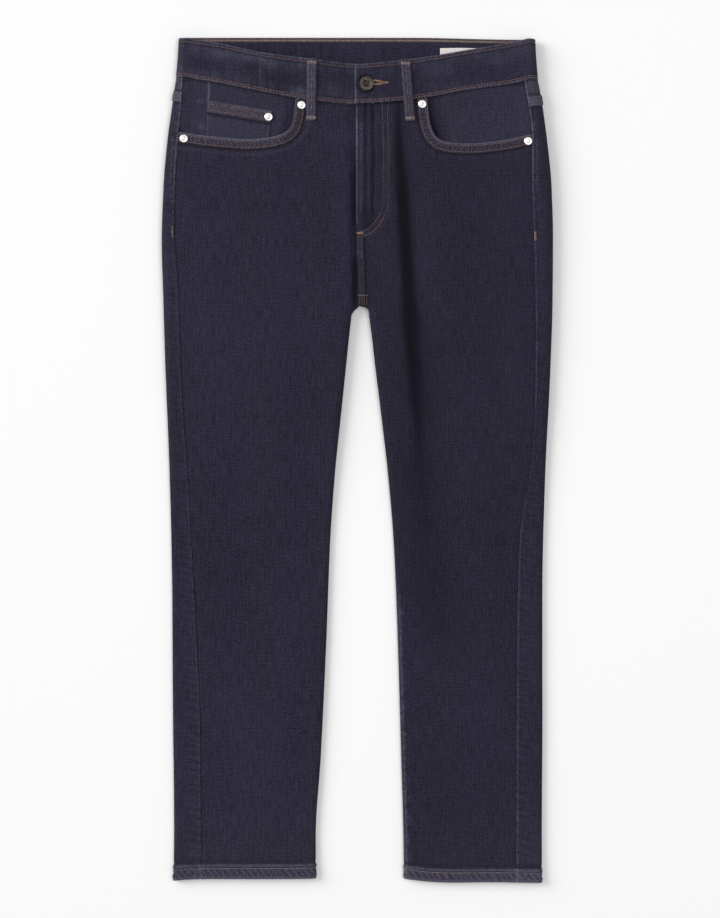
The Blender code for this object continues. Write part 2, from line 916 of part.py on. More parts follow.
def button(material):
    hand = top(BUTTON_X, BUTTON_H) + BAND_PROUD
    low = seat_height(BUTTON_X, BUTTON_H, SHANK_R) + BAND_PROUD - BAND_DIP + SEAM_GAP
    seat = seat_height(BUTTON_X, BUTTON_H, BUTTON_R) + BAND_PROUD + BAND_RISE + SEAM_GAP
    profile = (
        (SHANK_R, low - hand),
        (SHANK_R, seat - hand),
        (BUTTON_R * 0.9, seat - hand),
        (BUTTON_R, seat - hand + 0.8),
        (BUTTON_R, seat - hand + 1.8),
        (BUTTON_R * 0.88, seat - hand + 2.6),
        (BUTTON_R * 0.72, seat - hand + 2.2),
        (BUTTON_R * 0.3, seat - hand + 2.2),
        (BUTTON_R * 0.22, seat - hand + 2.7),
    )
    return turned("button", (BUTTON_X, BUTTON_H, hand), profile, 20, material)


def zip_tape(material):
    grid = []
    for h in spread(ZIP_LOW, ZIP_HIGH, 6):
        row = []
        for x in spread(ZIP_X - ZIP_HALF, ZIP_X + ZIP_HALF, 4):
            row.append((x, h, top(x, h) - ZIP_SINK))
        grid.append(row)
    return cloth("zip_tape", grid, [ZIP_WALL] * len(grid), material)


def zip_slider(material):
    """The slider's body and its pull tab, which lies flat down the tape."""
    grid = []
    for h, half in ((884, 1.6), (887, 2.6), (904, 2.0), (906, 3.6), (914, 4.2), (917, 3.0)):
        row = []
        for x in spread(ZIP_X - half, ZIP_X + half, 3):
            row.append((x, h, top(x, h) - CLOTH - LAYER_GAP))
        grid.append(row)
    return cloth("zip_slider", grid, [ZIP_SINK - CLOTH - 2 * LAYER_GAP] * len(grid), material)


def waist_label(material):
    grid = []
    for h in spread(LABEL_LOW, LABEL_HIGH, 3):
        row = []
        for x in spread(LABEL_NEAR, LABEL_FAR, 5):
            row.append((x, h, under(x, h) + BAND_WALL + SEAM_GAP + LABEL_WALL))
        grid.append(row)
    return cloth("waist_label", grid, [LABEL_WALL] * len(grid), material)


# ---------------------------------------------------------------- the jeans


def main():
    for thing in list(bpy.data.objects):
        bpy.data.objects.remove(thing, do_unlink=True)

    denim = make_material("denim", (0.026, 0.024, 0.039), 0.88)
    nickel = make_material("rivet_metal", (0.62, 0.61, 0.59), 0.32, 1.0)
    brass = make_material("button_metal", (0.11, 0.085, 0.065), 0.42, 1.0)
    tape = make_material("zip_cloth", (0.03, 0.03, 0.035), 0.9)
    slider = make_material("zip_metal", (0.3, 0.25, 0.17), 0.4, 1.0)
    satin = make_material("label_cloth", (0.68, 0.63, 0.6), 0.6)

    for side in (RIGHT, LEFT):
        front_panel(side, denim.copy())
        back_panel(side, denim.copy())
        yoke_panel(side, denim.copy())
        pocket_facing(side, denim.copy())
        back_pocket(side, denim.copy())
    waistband(denim.copy())
    coin_pocket(denim.copy())
    for spec in rows_of(FRONT_LOOPS):
        front_loop(spec, denim.copy())
    for spec in rows_of(BACK_LOOPS):
        back_loop(spec, denim.copy())
    for spec in rows_of(RIVETS):
        rivet(spec, nickel.copy())
    button(brass)
    zip_tape(tape)
    zip_slider(slider)
    waist_label(satin)


main()
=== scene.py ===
"""The looks of the slim fit jeans, laid flat on their back.

Every panel is cut again on the form of its solid, in the same strips but closely woven, with its
folds, puckers, rubbed edges and painted shade, and then stitched. Sizes are in millimetres and
become metres where a mesh is made. A place on the garment is (x, h, z): x from the middle to the
wearer's left, h up from the lower hem, and z off the surface that the jeans lie on.

relief is how far a place stands off the plain form of its panel. wear is 0 on the cloth at large, 1
where it has rubbed light, and down to -1 where shade is painted into the colour: in folds, hollows
and grooves, under raised edges and over parts of the left leg. rust is how much of the brown thread
shows in it.
"""

import math

import bpy
import numpy as np
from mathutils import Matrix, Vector


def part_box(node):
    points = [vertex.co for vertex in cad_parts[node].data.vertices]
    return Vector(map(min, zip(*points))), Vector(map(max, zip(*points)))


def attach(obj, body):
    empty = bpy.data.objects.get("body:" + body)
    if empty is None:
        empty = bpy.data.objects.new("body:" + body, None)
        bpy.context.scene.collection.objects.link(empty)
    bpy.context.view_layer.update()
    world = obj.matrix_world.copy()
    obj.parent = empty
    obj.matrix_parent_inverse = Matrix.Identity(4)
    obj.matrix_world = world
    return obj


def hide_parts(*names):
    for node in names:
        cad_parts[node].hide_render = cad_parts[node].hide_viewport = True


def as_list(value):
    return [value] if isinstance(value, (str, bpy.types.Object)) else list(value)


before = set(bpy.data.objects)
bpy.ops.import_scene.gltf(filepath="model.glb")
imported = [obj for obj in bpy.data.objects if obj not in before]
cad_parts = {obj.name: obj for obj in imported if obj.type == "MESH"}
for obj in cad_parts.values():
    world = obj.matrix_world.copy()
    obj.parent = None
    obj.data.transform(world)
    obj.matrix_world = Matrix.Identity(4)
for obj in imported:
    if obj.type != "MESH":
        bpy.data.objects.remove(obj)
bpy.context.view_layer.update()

MM = 0.001
RIGHT, LEFT = -1, 1
SIDES = (RIGHT, LEFT)
SIDE_NAMES = {RIGHT: "right", LEFT: "left"}
LENGTH = 1005.4
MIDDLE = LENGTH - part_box("waistband")[1].y / MM

CLOTH = 1.2
HEM_WALL, HEM_DEEP = 2.5, 13.5
BAND_WALL = 2.4
BAND_PROUD = 0.9
SEAM_GAP = 0.3
BAND_GAP = 0.45
LAYER_GAP = 0.5
EDGE_PARTING, HEM_PARTING = 0.36, 1.0
HIP_ROW = 850.0
FAR = 1000.0

# The top of the space between the legs: its middle, its reach, and how square each side of it is.
CROTCH_X, CROTCH_H, CROTCH_R = 3.6, 675.0, 10.4
CROTCH_POWERS = {RIGHT: 1.35, LEFT: 3.2}

# ---------------------------------------------------------------- the cut

# Where the outline lies, on the wearer's right and left.
OUTLINE = (
    ("height", "right", "left"),
    (0, -219.6, 220.3),
    (60, -218.7, 220.2),
    (190, -219.9, 221.2),
    (340, -221.0, 221.0),
    (480, -223.8, 224.2),
    (600, -228.4, 229.8),
    (690, -231.4, 232.8),
    (765, -233.4, 233.4),
    (830, -231.1, 231.4),
    (885, -226.3, 226.0),
    (925, -220.7, 220.6),
    (958, -216.3, 215.4),
    (1006, -213.0, 212.2),
)

# The inner edge of each leg, up to the crotch.
INSEAMS = (
    ("height", "right", "left"),
    (0, -49.4, 55.6),
    (50, -49.6, 55.0),
    (150, -43.5, 52.3),
    (290, -36.8, 48.2),
    (400, -32.6, 43.6),
    (480, -27.2, 37.2),
    (560, -19.0, 28.0),
    (610, -13.8, 21.8),
    (645, -10.2, 17.8),
    (675, -6.8, 14.0),
)

# How far each hem is off the lowest place.
HEM_RIGHT = (
    ("x", "lift"),
    (-222.0, 1.6),
    (-206.0, 3.2),
    (-176.0, 4.2),
    (-128.0, 4.1),
    (-82.0, 4.2),
    (-50.0, 4.7),
)
HEM_LEFT = (
    ("x", "lift"),
    (54.0, 4.4),
    (64.0, 3.4),
    (88.0, 0.9),
    (110.0, 0.0),
    (133.0, 0.1),
    (150.0, 0.4),
    (193.0, 0.0),
    (222.0, -0.6),
)

# The side seams, which lie on the front of the legs.
SIDE_SEAMS = (
    ("height", "right", "left"),
    (0, -186.6, 190.0),
    (180, -187.8, 190.4),
    (310, -193.4, 191.3),
    (415, -199.0, 194.6),
    (460, -201.4, 201.0),
    (510, -204.5, 208.0),
    (560, -207.9, 212.2),
    (650, -212.0, 212.8),
    (715, -214.2, 212.2),
    (775, -218.4, 210.2),
    (835, -216.8, 208.3),
    (890, -213.2, 208.0),
    (920, -210.2, 204.6),
    (960, -207.6, 197.6),
)

# The seam from the crotch to the end of the fly, and the fly's edge above it.
FRONT_SEAM = (
    ("height", "x"),
    (675, 1.6),
    (710, 1.2),
    (740, 0.4),
    (775, -0.5),
    (960, -0.9),
)

# How high the upper layer stands, and how wide the rolled edge of the outline is.
LOFT = (
    ("height", "rise", "roll"),
    (0, 6.9, 4.3),
    (16, 6.8, 4.5),
    (40, 6.3, 5.6),
    (400, 6.3, 6.0),
    (450, 6.9, 6.5),
    (540, 9.6, 8.5),
    (620, 11.4, 10.0),
    (700, 13.0, 12.0),
    (780, 14.3, 13.0),
    (870, 14.6, 13.0),
    (930, 14.4, 11.5),
    (960, 13.8, 10.0),
    (1006, 12.8, 9.0),
)

# The waistband's lower and upper edges on the front.
BAND_RIGHT = (
    ("x", "bottom", "top"),
    (-213.0, 959.4, 1003.6),
    (-175.0, 953.8, 999.4),
    (-114.0, 941.8, 986.8),
    (-62.0, 932.4, 979.9),
    (-4.0, 926.9, 973.2),
    (30.0, 926.4, 972.2),
)
BAND_LEFT = (
    ("x", "bottom", "top"),
    (-5.0, 927.2, 971.8),
    (22.0, 928.4, 974.0),
    (60.0, 931.8, 978.2),
    (95.0, 936.8, 983.2),
    (116.0, 941.2, 986.8),
    (145.0, 945.7, 991.8),
    (175.0, 949.6, 996.8),
    (199.0, 954.1, 1001.0),
    (212.0, 956.6, 1003.2),
)
BAND_BACK_BOTTOM = 960.4

# The yoke seam across the back.
YOKE_SEAM = (
    ("reach", "right", "left"),
    (0.0, 889.0, 889.0),
    (110.0, 911.0, 908.0),
    (222.0, 930.0, 925.0),
)

# The pocket mouths, from the waistband round to the side seam.
MOUTH_RIGHT = (
    ("x", "height"),
    (-73.4, 932.0),
    (-75.2, 914.0),
    (-78.6, 900.0),
    (-88.0, 890.8),
    (-106.0, 885.8),
    (-129.5, 883.8),
    (-167.0, 886.4),
    (-213.0, 892.3),
)
MOUTH_LEFT = (
    ("x", "height"),
    (82.8, 933.0),
    (84.4, 915.0),
    (86.8, 901.5),
    (91.0, 890.5),
    (99.0, 883.2),
    (111.0, 879.8),
    (133.0, 878.8),
    (169.0, 882.0),
    (207.0, 889.6),
)

# Large soft troughs in the upper layer: the heights that each runs between, starts at and is full at,
# where its floor lies, how wide it is before and after that, its depth as a share of the height
# there, and how much painted shade darkens its falling side.
FOLDS = (
    ("low", "high", "starts", "full", "x_low", "x_mid", "x_high", "before", "after", "share", "shade"),
    (330, 935, 420, 720, 95.0, 66.8, 52.6, 8.4, 26.0, 0.60, 1.15),
    (650, 900, 650, 728, -0.6, -1.0, -1.6, 4.4, 3.5, 0.22, 0.35),
)

# Painted shade: where one layer drops behind another, along the deep fold, and over broad parts of the
# left leg.
HOLLOWS = (
    ("low", "high", "x_low", "x_high", "width", "shade"),
    (686, 744, -2.7, -2.7, 4.2, 1.15),
    (776, 850, -5.0, -4.6, 2.4, 0.75),
    (774, 804, 12.0, 10.0, 9.0, 0.42),
    (905, 940, 6.0, 6.0, 15.0, 0.35),
    (530, 700, 84.0, 64.0, 20.0, 0.38),
    (270, 540, 97.0, 66.0, 26.0, 0.4),
    (850, 950, 49.6, 48.4, 4.6, 0.75),
)

# Faint creases in the fronts, from one end to the other: ridges where height is more than 0.
CREASES = (
    ("x", "h", "to_x", "to_h", "width", "height"),
    (-205.0, 868.0, -132.0, 806.0, 8.0, 0.55),
    (-192.0, 834.0, -118.0, 786.0, 9.0, -0.45),
    (-206.0, 800.0, -150.0, 752.0, 10.0, 0.4),
    (-32.0, 905.0, -28.0, 700.0, 13.0, -1.0),
    (-60.0, 760.0, -14.0, 716.0, 9.0, 0.5),
    (-78.0, 720.0, -20.0, 690.0, 11.0, -0.55),
    (-90.0, 640.0, -96.0, 420.0, 16.0, 0.6),
    (-150.0, 560.0, -140.0, 330.0, 18.0, -0.6),
    (-74.0, 330.0, -92.0, 120.0, 14.0, 0.5),
    (-160.0, 300.0, -150.0, 60.0, 16.0, -0.5),
    (28.0, 868.0, 26.0, 792.0, 7.0, -0.4),
    (170.0, 720.0, 172.0, 545.0, 17.0, -1.2),
    (132.0, 850.0, 118.0, 620.0, 18.0, 0.7),
    (198.0, 835.0, 178.0, 770.0, 9.0, 0.5),
    (20.0, 664.0, 36.0, 590.0, 8.0, 0.5),
    (110.0, 520.0, 126.0, 300.0, 18.0, -0.6),
    (160.0, 420.0, 158.0, 200.0, 16.0, 0.5),
    (86.0, 240.0, 96.0, 60.0, 14.0, -0.5),
    (146.0, 180.0, 150.0, 40.0, 15.0, 0.5),
)

LOOP_WIDTH = 10.6
LOOP_WALL = 1.5
LOOP_BOW = 1.2
FRONT_LOOPS = (
    ("name", "x_top", "x_bottom", "top", "bottom"),
    ("right", -53.9, -54.9, 979.6, 907.0),
    ("left", 57.2, 63.0, 978.4, 906.4),
)
BACK_LOOPS = ("belt_loop_side_right", "belt_loop_back", "belt_loop_side_left")
UNDER_LIFT = 1.6
SEAT_START = (640.0, 715.0)

BACK_POCKET = (
    ("x", "top", "bottom"),
    (34.0, 868.0, 740.6),
    (101.0, 874.0, 724.0),
    (168.0, 880.0, 754.0),
)
BACK_POCKET_WALL = 1.2

FACING_WALL = 1.0
FACING_SINK = {RIGHT: 2.8, LEFT: 1.7}
COIN_SINK, COIN_WALL = 1.5, 1.0
COIN_LEFT_EDGE, COIN_RIGHT_EDGE = -102.5, -177.0
COIN_TOP_LEFT, COIN_TOP_RIGHT = 917.4, 929.4
POCKET_FLOOR = 866.0

FLY_END = 772.0
UNDERLAP, UNDERLAP_DIP = 10.5, 1.7
BAND_DIP, BAND_RISE = 1.9, 1.0

# The fly's outer row of stitches, from the waistband down and round to the middle.
FLY_STITCH = (
    ("along", "x", "height"),
    (0.0, 35.6, 927.0),
    (1.0, 36.9, 860.0),
    (1.8, 36.0, 808.0),
    (2.1, 31.6, 792.0),
    (2.4, 22.8, 778.6),
    (2.7, 12.4, 770.6),
    (3.0, 0.6, 767.6),
)
FLY_ROW_GAP = 5.8
FLY_INSIDE, FLY_BESIDE = 35.2, 39.0

STITCH = {"pitch": 3.3, "length": 2.5, "width": 0.85, "height": 0.65}
HEM_STITCH = {RIGHT: 11.4, LEFT: 9.8}
HEM_PITCH, HEM_TWIST = 7.8, 3.7
HEM_WEAR = {RIGHT: 0.28, LEFT: 0.38}


# ---------------------------------------------------------------- curves and tables


def column(table, name):
    place = table[0].index(name)
    return np.array([row[place] for row in table[1:]], float)


def rows_of(table):
    return [dict(zip(table[0], row)) for row in table[1:]]


def smooth_curve(xs, ys):
    """A curve through the points that never swings past them."""
    steps, slopes = np.diff(xs), np.diff(ys) / np.diff(xs)
    before, after = slopes[:-1], slopes[1:]
    total = np.where(before * after > 0, before + after, 1.0)
    inside = np.where(before * after > 0, 2 * before * after / total, 0.0)
    tangents = np.concatenate([slopes[:1], inside, slopes[-1:]])

    def value(x):
        x = np.clip(x, xs[0], xs[-1])
        k = np.clip(np.searchsorted(xs, x, side="right") - 1, 0, len(steps) - 1)
        t = (x - xs[k]) / steps[k]
        lead = t * (1 - t) ** 2 * steps[k] * tangents[k]
        tail = t * t * (t - 1) * steps[k] * tangents[k + 1]
        return mix(ys[k], ys[k + 1], t * t * (3 - 2 * t)) + lead + tail

    return value


def table_curve(table, across, name):
    return smooth_curve(column(table, across), column(table, name))


def ramp(value, low, high):
    """0 below low, 1 above high, and a smooth step between."""
    t = np.clip((value - low) / (high - low), 0.0, 1.0)
    return t * t * (3 - 2 * t)


def mix(a, b, t):
    return a + (b - a) * t


def mound(distance, width):
    """1 at the middle, falling away smoothly over about the width."""
    return np.exp(-((distance / width) ** 2))


def lines(distance, *rows):
    """Soft lines beside something: each is how far off it, how wide and how strong."""
    return sum(strength * mound(distance - off, width) for off, width, strength in rows)


def spots(table, x, h):
    """How light the cloth is in the spots of a table: their places, sizes and strengths."""
    light = 0.0
    for spot in rows_of(table):
        across, up = (x - spot["x"]) / spot["wide"], (h - spot["h"]) / spot["high"]
        light = light + spot["wear"] * mound(across, 1) * mound(up, 1)
    return light


def grooves(distance, places):
    """How far rows of thread pull the cloth in."""
    return 0.3 * sum(mound(distance - place, 0.8) for place in places)


def wander(place, seed):
    """Smooth, irregular values from -1 to 1 along a line, one for each unit."""
    values = np.random.default_rng(seed).uniform(-1, 1, 1024)
    k = np.floor(place).astype(int)
    t = place - k
    return mix(values[k % 1024], values[(k + 1) % 1024], t * t * (3 - 2 * t))


def wander_over(a, b, seed):
    """The same over a surface."""
    values = np.random.default_rng(seed).uniform(-1, 1, (128, 128))
    i, j = np.floor(a).astype(int), np.floor(b).astype(int)
    s, t = a - i, b - j
    s, t = s * s * (3 - 2 * s), t * t * (3 - 2 * t)
    near = mix(values[i % 128, j % 128], values[(i + 1) % 128, j % 128], s)
    far = mix(values[i % 128, (j + 1) % 128], values[(i + 1) % 128, (j + 1) % 128], s)
    return mix(near, far, t)


def puckers(along, pitch, seed):
    """Uneven ridges about a pitch apart."""
    turns = along / pitch + 0.4 * wander(along / pitch / 2.2, seed)
    return np.sin(2 * math.pi * turns) * (0.65 + 0.35 * wander(along / pitch / 1.7, seed + 1))


def by_side(table, across):
    """The curve of each side of the garment."""
    return {side: table_curve(table, across, SIDE_NAMES[side]) for side in SIDES}


side_edge, inseam = by_side(OUTLINE, "height"), by_side(INSEAMS, "height")
side_seam, yoke_seam = by_side(SIDE_SEAMS, "height"), by_side(YOKE_SEAM, "reach")
front_seam = table_curve(FRONT_SEAM, "height", "x")
loft_rise = table_curve(LOFT, "height", "rise")
loft_roll = table_curve(LOFT, "height", "roll")
band_tables = {RIGHT: BAND_RIGHT, LEFT: BAND_LEFT}
band_bottom = {s: table_curve(band_tables[s], "x", "bottom") for s in SIDES}
band_top = {s: table_curve(band_tables[s], "x", "top") for s in SIDES}
hem_lift = {RIGHT: table_curve(HEM_RIGHT, "x", "lift"), LEFT: table_curve(HEM_LEFT, "x", "lift")}


# ---------------------------------------------------------------- the two layers


def crotch_distance(x, h):
    """How far a place is from the space between the legs."""
    power = np.where(x < CROTCH_X, CROTCH_POWERS[RIGHT], CROTCH_POWERS[LEFT])
    above = (np.abs(x - CROTCH_X) ** power + np.abs(h - CROTCH_H) ** power) ** (1 / power) - CROTCH_R
    beside = np.where(x < CROTCH_X, inseam[RIGHT](h) - x, x - inseam[LEFT](h))
    return np.where(h > CROTCH_H, above, beside)


def edge_roll(x, h):
    """0 on the outline and 1 where the cloth lies level, along a quarter of an ellipse."""
    outer = np.minimum(x - side_edge[RIGHT](h), side_edge[LEFT](h) - x)
    distance = np.maximum(np.minimum(outer, crotch_distance(x, h)), 0.0)
    turn = np.minimum(distance / loft_roll(h), 1.0)
    return np.sqrt(1 - (1 - turn) ** 2)


FOLD_LEAD = 60


def fold_path(fold, h):
    """Where a fold's floor lies at each height, on a smooth bend through its three places."""
    t = np.clip((h - fold["low"]) / (fold["high"] - fold["low"]), 0.0, 1.0)
    lower = mix(fold["x_low"], fold["x_mid"], t)
    upper = mix(fold["x_mid"], fold["x_high"], t)
    return mix(lower, upper, t)


def fold_fade(fold, h, starts):
    """1 along a fold and 0 past its ends."""
    reach = (fold["high"] - fold["low"]) / 4
    return ramp(h, starts, fold["full"]) * (1 - ramp(h, fold["high"] - reach, fold["high"]))


def fold_depth(x, h):
    """How far the upper layer sinks into its folds. A fold sinks before its painted shade starts."""
    depth = 0.0
    for fold in rows_of(FOLDS):
        fade = fold_fade(fold, h, fold["starts"] - FOLD_LEAD)
        across = x - fold_path(fold, h)
        width = np.where(across < 0, fold["before"], fold["after"])
        depth = depth + fold["share"] * loft_rise(h) * fade * mound(across, width)
    return depth


def fold_shade(x, h):
    """How much painted shade darkens the falling side of each fold, and each hollow."""
    shade = 0.0
    for fold in rows_of(FOLDS):
        fade = fold_fade(fold, h, fold["starts"])
        across = x - fold_path(fold, h) + 0.5 * fold["before"]
        shade = shade + fold["shade"] * fade * mound(across, 0.9 * fold["before"])
    for hollow in rows_of(HOLLOWS):
        low, high = hollow["low"], hollow["high"]
        reach = 0.2 * (high - low)
        fade = ramp(h, low - reach / 2, low + reach) * (1 - ramp(h, high - reach, high + reach / 2))
        middle = mix(hollow["x_low"], hollow["x_high"], (h - low) / (high - low))
        shade = shade + hollow["shade"] * fade * mound(x - middle, hollow["width"])
    return shade


def parting(h):
    """The gap between the two layers along the outline, wider where the hem is thick."""
    return mix(HEM_PARTING, EDGE_PARTING, ramp(h, 24, 60))


def top(x, h):
    """The outside of the upper layer."""
    rise = loft_rise(h)
    return mix((rise + parting(h)) / 2, rise - fold_depth(x, h), edge_roll(x, h))


def under(x, h):
    """The outside of the lower layer. The seat lies on its back pockets and belt loops."""
    foot = (loft_rise(h) - parting(h)) / 2
    return mix(foot, UNDER_LIFT * ramp(h, *SEAT_START), edge_roll(x, h))


def hem_line(x, h):
    """The hems aren't quite level: this lifts their low rows, and fades out above them."""
    lift = np.where(x < CROTCH_X, hem_lift[RIGHT](x), hem_lift[LEFT](x))
    return lift * (1 - ramp(h, 0, 150))


def inner_edge(side, h):
    """Where a panel ends towards the middle: at its inseam, the crotch, or the middle seam."""
    seam = front_seam(h) + side * SEAM_GAP / 2
    power = CROTCH_POWERS[side]
    reach = np.maximum(CROTCH_R**power - np.abs(h - CROTCH_H) ** power, 0.0)
    arc = np.where(reach > 0, CROTCH_X + side * reach ** (1 / power), seam)
    above = np.maximum(arc, seam) if side == LEFT else np.minimum(arc, seam)
    return np.where(h <= CROTCH_H, inseam[side](h), above)


INSEAM_TURN = 52.0
INSEAM_FADE = (290, 475)


def inseam_turn(side, h):
    """How far round the inner edge the inseam lies: 0 is on the edge, and more is on the front."""
    return INSEAM_TURN * (1 - ramp(h, *INSEAM_FADE)) if side == LEFT else 0.0 * h


def inseam_gap(side, h):
    """Half the gap at the inseam, as a turn."""
    share = inseam_turn(side, h) / INSEAM_TURN
    return 3.0 + 3.6 * share + 20.0 * share * (1 - share) ** 2


# ---------------------------------------------------------------- cloth


def unit(vectors):
    return vectors / np.maximum(np.linalg.norm(vectors, axis=-1, keepdims=True), 1e-9)


def normals_of(grid):
    """The direction off the cloth at each point of a grid, from its neighbours."""
    along, up = np.gradient(grid, axis=1), np.gradient(grid, axis=0)
    return unit(np.cross(along, up))


RIM_TURNS = (45, 90, 135)


class Cloth:
    """A closed wall of cloth. The grid is its plain outside, and relief lifts that along its normals.

    edges says how round each side of the rim is, from 0, cut square, to 1, folded over: its first
    row, last column, last row and first column.
    """

    def __init__(self, grid, wall, relief=0.0, edges=(1, 1, 1, 1), wear=0.0, rust=0.0, flip=False):
        if flip:
            grid = grid[:, ::-1]
            wall, relief, wear, rust = (self.mirrored(v) for v in (wall, relief, wear, rust))
            edges = (edges[0], edges[3], edges[2], edges[1])
        self.shape = grid.shape[:2]
        self.normal = normals_of(grid)
        self.wall = np.broadcast_to(wall, self.shape)
        self.outer = grid + self.normal * np.broadcast_to(relief, self.shape)[..., None]
        self.inner = grid - self.normal * self.wall[..., None]
        self.marks = [np.broadcast_to(v, self.shape).ravel() for v in (wear, rust)]
        self.edges = edges

    @staticmethod
    def mirrored(values):
        values = np.asarray(values, float)
        return values[:, ::-1] if values.ndim == 2 and values.shape[1] > 1 else values

    def away(self):
        """The direction out of the rim, and how far the rim bulges that way."""
        out, bulge = np.zeros(self.outer.shape), np.zeros(self.shape)
        sides = (
            (np.s_[0, :], np.s_[1, :]),
            (np.s_[:, -1], np.s_[:, -2]),
            (np.s_[-1, :], np.s_[-2, :]),
            (np.s_[:, 0], np.s_[:, 1]),
        )
        for (rim, near), amount in zip(sides, self.edges):
            out[rim] += unit(self.outer[rim] - self.outer[near])
            bulge[rim] = np.maximum(bulge[rim], amount)
        out -= self.normal * (out * self.normal).sum(-1, keepdims=True)
        return unit(out).reshape(-1, 3), bulge.reshape(-1, 1)

    def build(self):
        """The points, faces, flat places and marks of the closed wall."""
        rows, columns = self.shape
        index = np.arange(rows * columns).reshape(rows, columns)
        size = rows * columns
        quads = np.stack([index[:-1, :-1], index[:-1, 1:], index[1:, 1:], index[1:, :-1]], -1)
        quads = quads.reshape(-1, 4)
        rim = np.concatenate([index[0], index[1:, -1], index[-1, -2::-1], index[-2:0:-1, 0]])
        outer, inner = self.outer.reshape(-1, 3), self.inner.reshape(-1, 3)
        out, bulge = self.away()
        middle, half = (outer[rim] + inner[rim]) / 2, (outer[rim] - inner[rim]) / 2
        reach = out[rim] * bulge[rim] * np.linalg.norm(half, axis=1, keepdims=True)
        points, loops = [outer, inner], [rim]
        for k, angle in enumerate(RIM_TURNS):
            turn = math.radians(angle)
            points.append(middle + half * math.cos(turn) + reach * math.sin(turn))
            loops.append(2 * size + k * len(rim) + np.arange(len(rim)))
        loops.append(rim + size)
        faces = [quads, quads[:, ::-1] + size]
        for near, far in zip(loops, loops[1:]):
            faces.append(np.stack([np.roll(near, -1), near, far, np.roll(far, -1)], -1))
        on_all = [
            np.concatenate([marks, marks] + [marks[rim]] * len(RIM_TURNS))
            for marks in (self.flat_places(), *self.marks)
        ]
        return np.concatenate(points), np.concatenate(faces), on_all[0], on_all[1:]

    def flat_places(self):
        """Where each point was on the flat cloth: the way across it, and the height."""
        step = np.diff(self.outer, axis=1)
        along = np.cumsum(np.hypot(step[..., 0], step[..., 2]), axis=1)
        along = np.concatenate([np.zeros((self.shape[0], 1)), along], axis=1)
        middle = self.shape[1] // 2
        across = along - along[:, middle : middle + 1] + self.outer[:, middle : middle + 1, 0]
        return np.stack([across, self.outer[..., 1]], -1).reshape(-1, 2)

    def line(self, row=None, column=None, lift=0.1, part=(0.0, 1.0)):
        """Places along one row or column of the outside, and the way off the cloth there."""
        picked = np.s_[row, :] if column is None else np.s_[:, column]
        places, ways = self.outer[picked], self.normal[picked]
        first, last = (round(share * (len(places) - 1)) for share in part)
        places, ways = places[first : last + 1], ways[first : last + 1]
        return places + ways * lift, ways


def in_metres(points):
    return (points - (0.0, MIDDLE, 0.0)) * MM


def mesh_object(name, points, faces, material):
    """One smooth mesh from points in millimetres."""
    mesh = bpy.data.meshes.new(name)
    mesh.from_pydata(in_metres(np.asarray(points, float)).tolist(), [], [list(f) for f in faces])
    mesh.shade_smooth()
    mesh.materials.append(material)
    thing = bpy.data.objects.new(name, mesh)
    bpy.context.scene.collection.objects.link(thing)
    return thing


def sew(name, parts, material):
    """One piece from several walls of cloth, with its flat places and marks, riding on the jeans."""
    built = [part.build() for part in parts]
    starts = np.cumsum([0] + [len(b[0]) for b in built])
    points = np.concatenate([b[0] for b in built])
    faces = np.concatenate([b[1] + start for b, start in zip(built, starts)])
    thing = mesh_object(name, points, faces.tolist(), material)
    flat = np.concatenate([b[2] for b in built]) * MM
    corners = np.zeros(len(thing.data.loops), np.int32)
    thing.data.loops.foreach_get("vertex_index", corners)
    places = thing.data.uv_layers.new(name="cut")
    places.data.foreach_set("uv", flat[corners].astype(np.float32).ravel())
    for k, mark in enumerate(("wear", "rust")):
        values = np.concatenate([b[3][k] for b in built]).astype(np.float32)
        marks = thing.data.attributes.new(mark, "FLOAT", "POINT")
        marks.data.foreach_set("value", np.clip(values, -1, 1))
    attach(thing, "root")
    return thing


# ---------------------------------------------------------------- seams, hems, rubbed edges and painted shade


def path_of(table, count):
    """Places along a table's (x, height) points, evenly spaced."""
    xs, hs = column(table, "x"), column(table, "height")
    along = np.concatenate([[0.0], np.cumsum(np.hypot(np.diff(xs), np.diff(hs)))])
    at = np.linspace(0, along[-1], count)
    return np.stack([smooth_curve(along, xs)(at), smooth_curve(along, hs)(at)], -1)


def to_path(path, x, h):
    """How far each place is from a path."""
    near = np.full(x.shape, FAR)
    for px, ph in path:
        near = np.minimum(near, np.hypot(x - px, h - ph))
    return near


MOUTH_TABLES = {RIGHT: MOUTH_RIGHT, LEFT: MOUTH_LEFT}
MOUTHS = {side: path_of(MOUTH_TABLES[side], 160) for side in SIDES}


def to_mouth(side, x, h):
    """How far each place is from the pocket mouth."""
    return to_path(MOUTHS[side], x, h)


def fly_path(inset):
    """The J of stitches round the fly, moved in towards the fly's edge."""
    along, xs, hs = (column(FLY_STITCH, name) for name in FLY_STITCH[0])
    at = np.linspace(along[0], along[-1], 140)
    x, h = smooth_curve(along, xs)(at), smooth_curve(along, hs)(at)
    dx, dh = np.gradient(x), np.gradient(h)
    size = np.hypot(dx, dh)
    return np.stack([x + dh / size * inset, h - dx / size * inset], -1)


FLY_OUTER, FLY_INNER = fly_path(0.0), fly_path(FLY_ROW_GAP)


def drape(x, h):
    """The slight unevenness of cloth smoothed out by hand."""
    broad = 0.34 * wander_over(x / 34 + 40, h / 120, 5)
    return broad + 0.12 * wander_over(x / 13 + 60, h / 42, 6)


def creases(x, h):
    """Faint soft creases, each fading out at its ends."""
    lift = np.zeros(x.shape)
    for crease in rows_of(CREASES):
        run = np.array([crease["to_x"] - crease["x"], crease["to_h"] - crease["h"]])
        size = np.hypot(*run)
        dx, dh = x - crease["x"], h - crease["h"]
        along = (dx * run[0] + dh * run[1]) / size**2
        across = (dx * run[1] - dh * run[0]) / size
        across = across + 0.12 * size * (along - 0.5) ** 2
        fade = ramp(along, -0.12, 0.25) * (1 - ramp(along, 0.7, 1.12))
        lift += crease["height"] * fade * mound(across, crease["width"])
    return lift


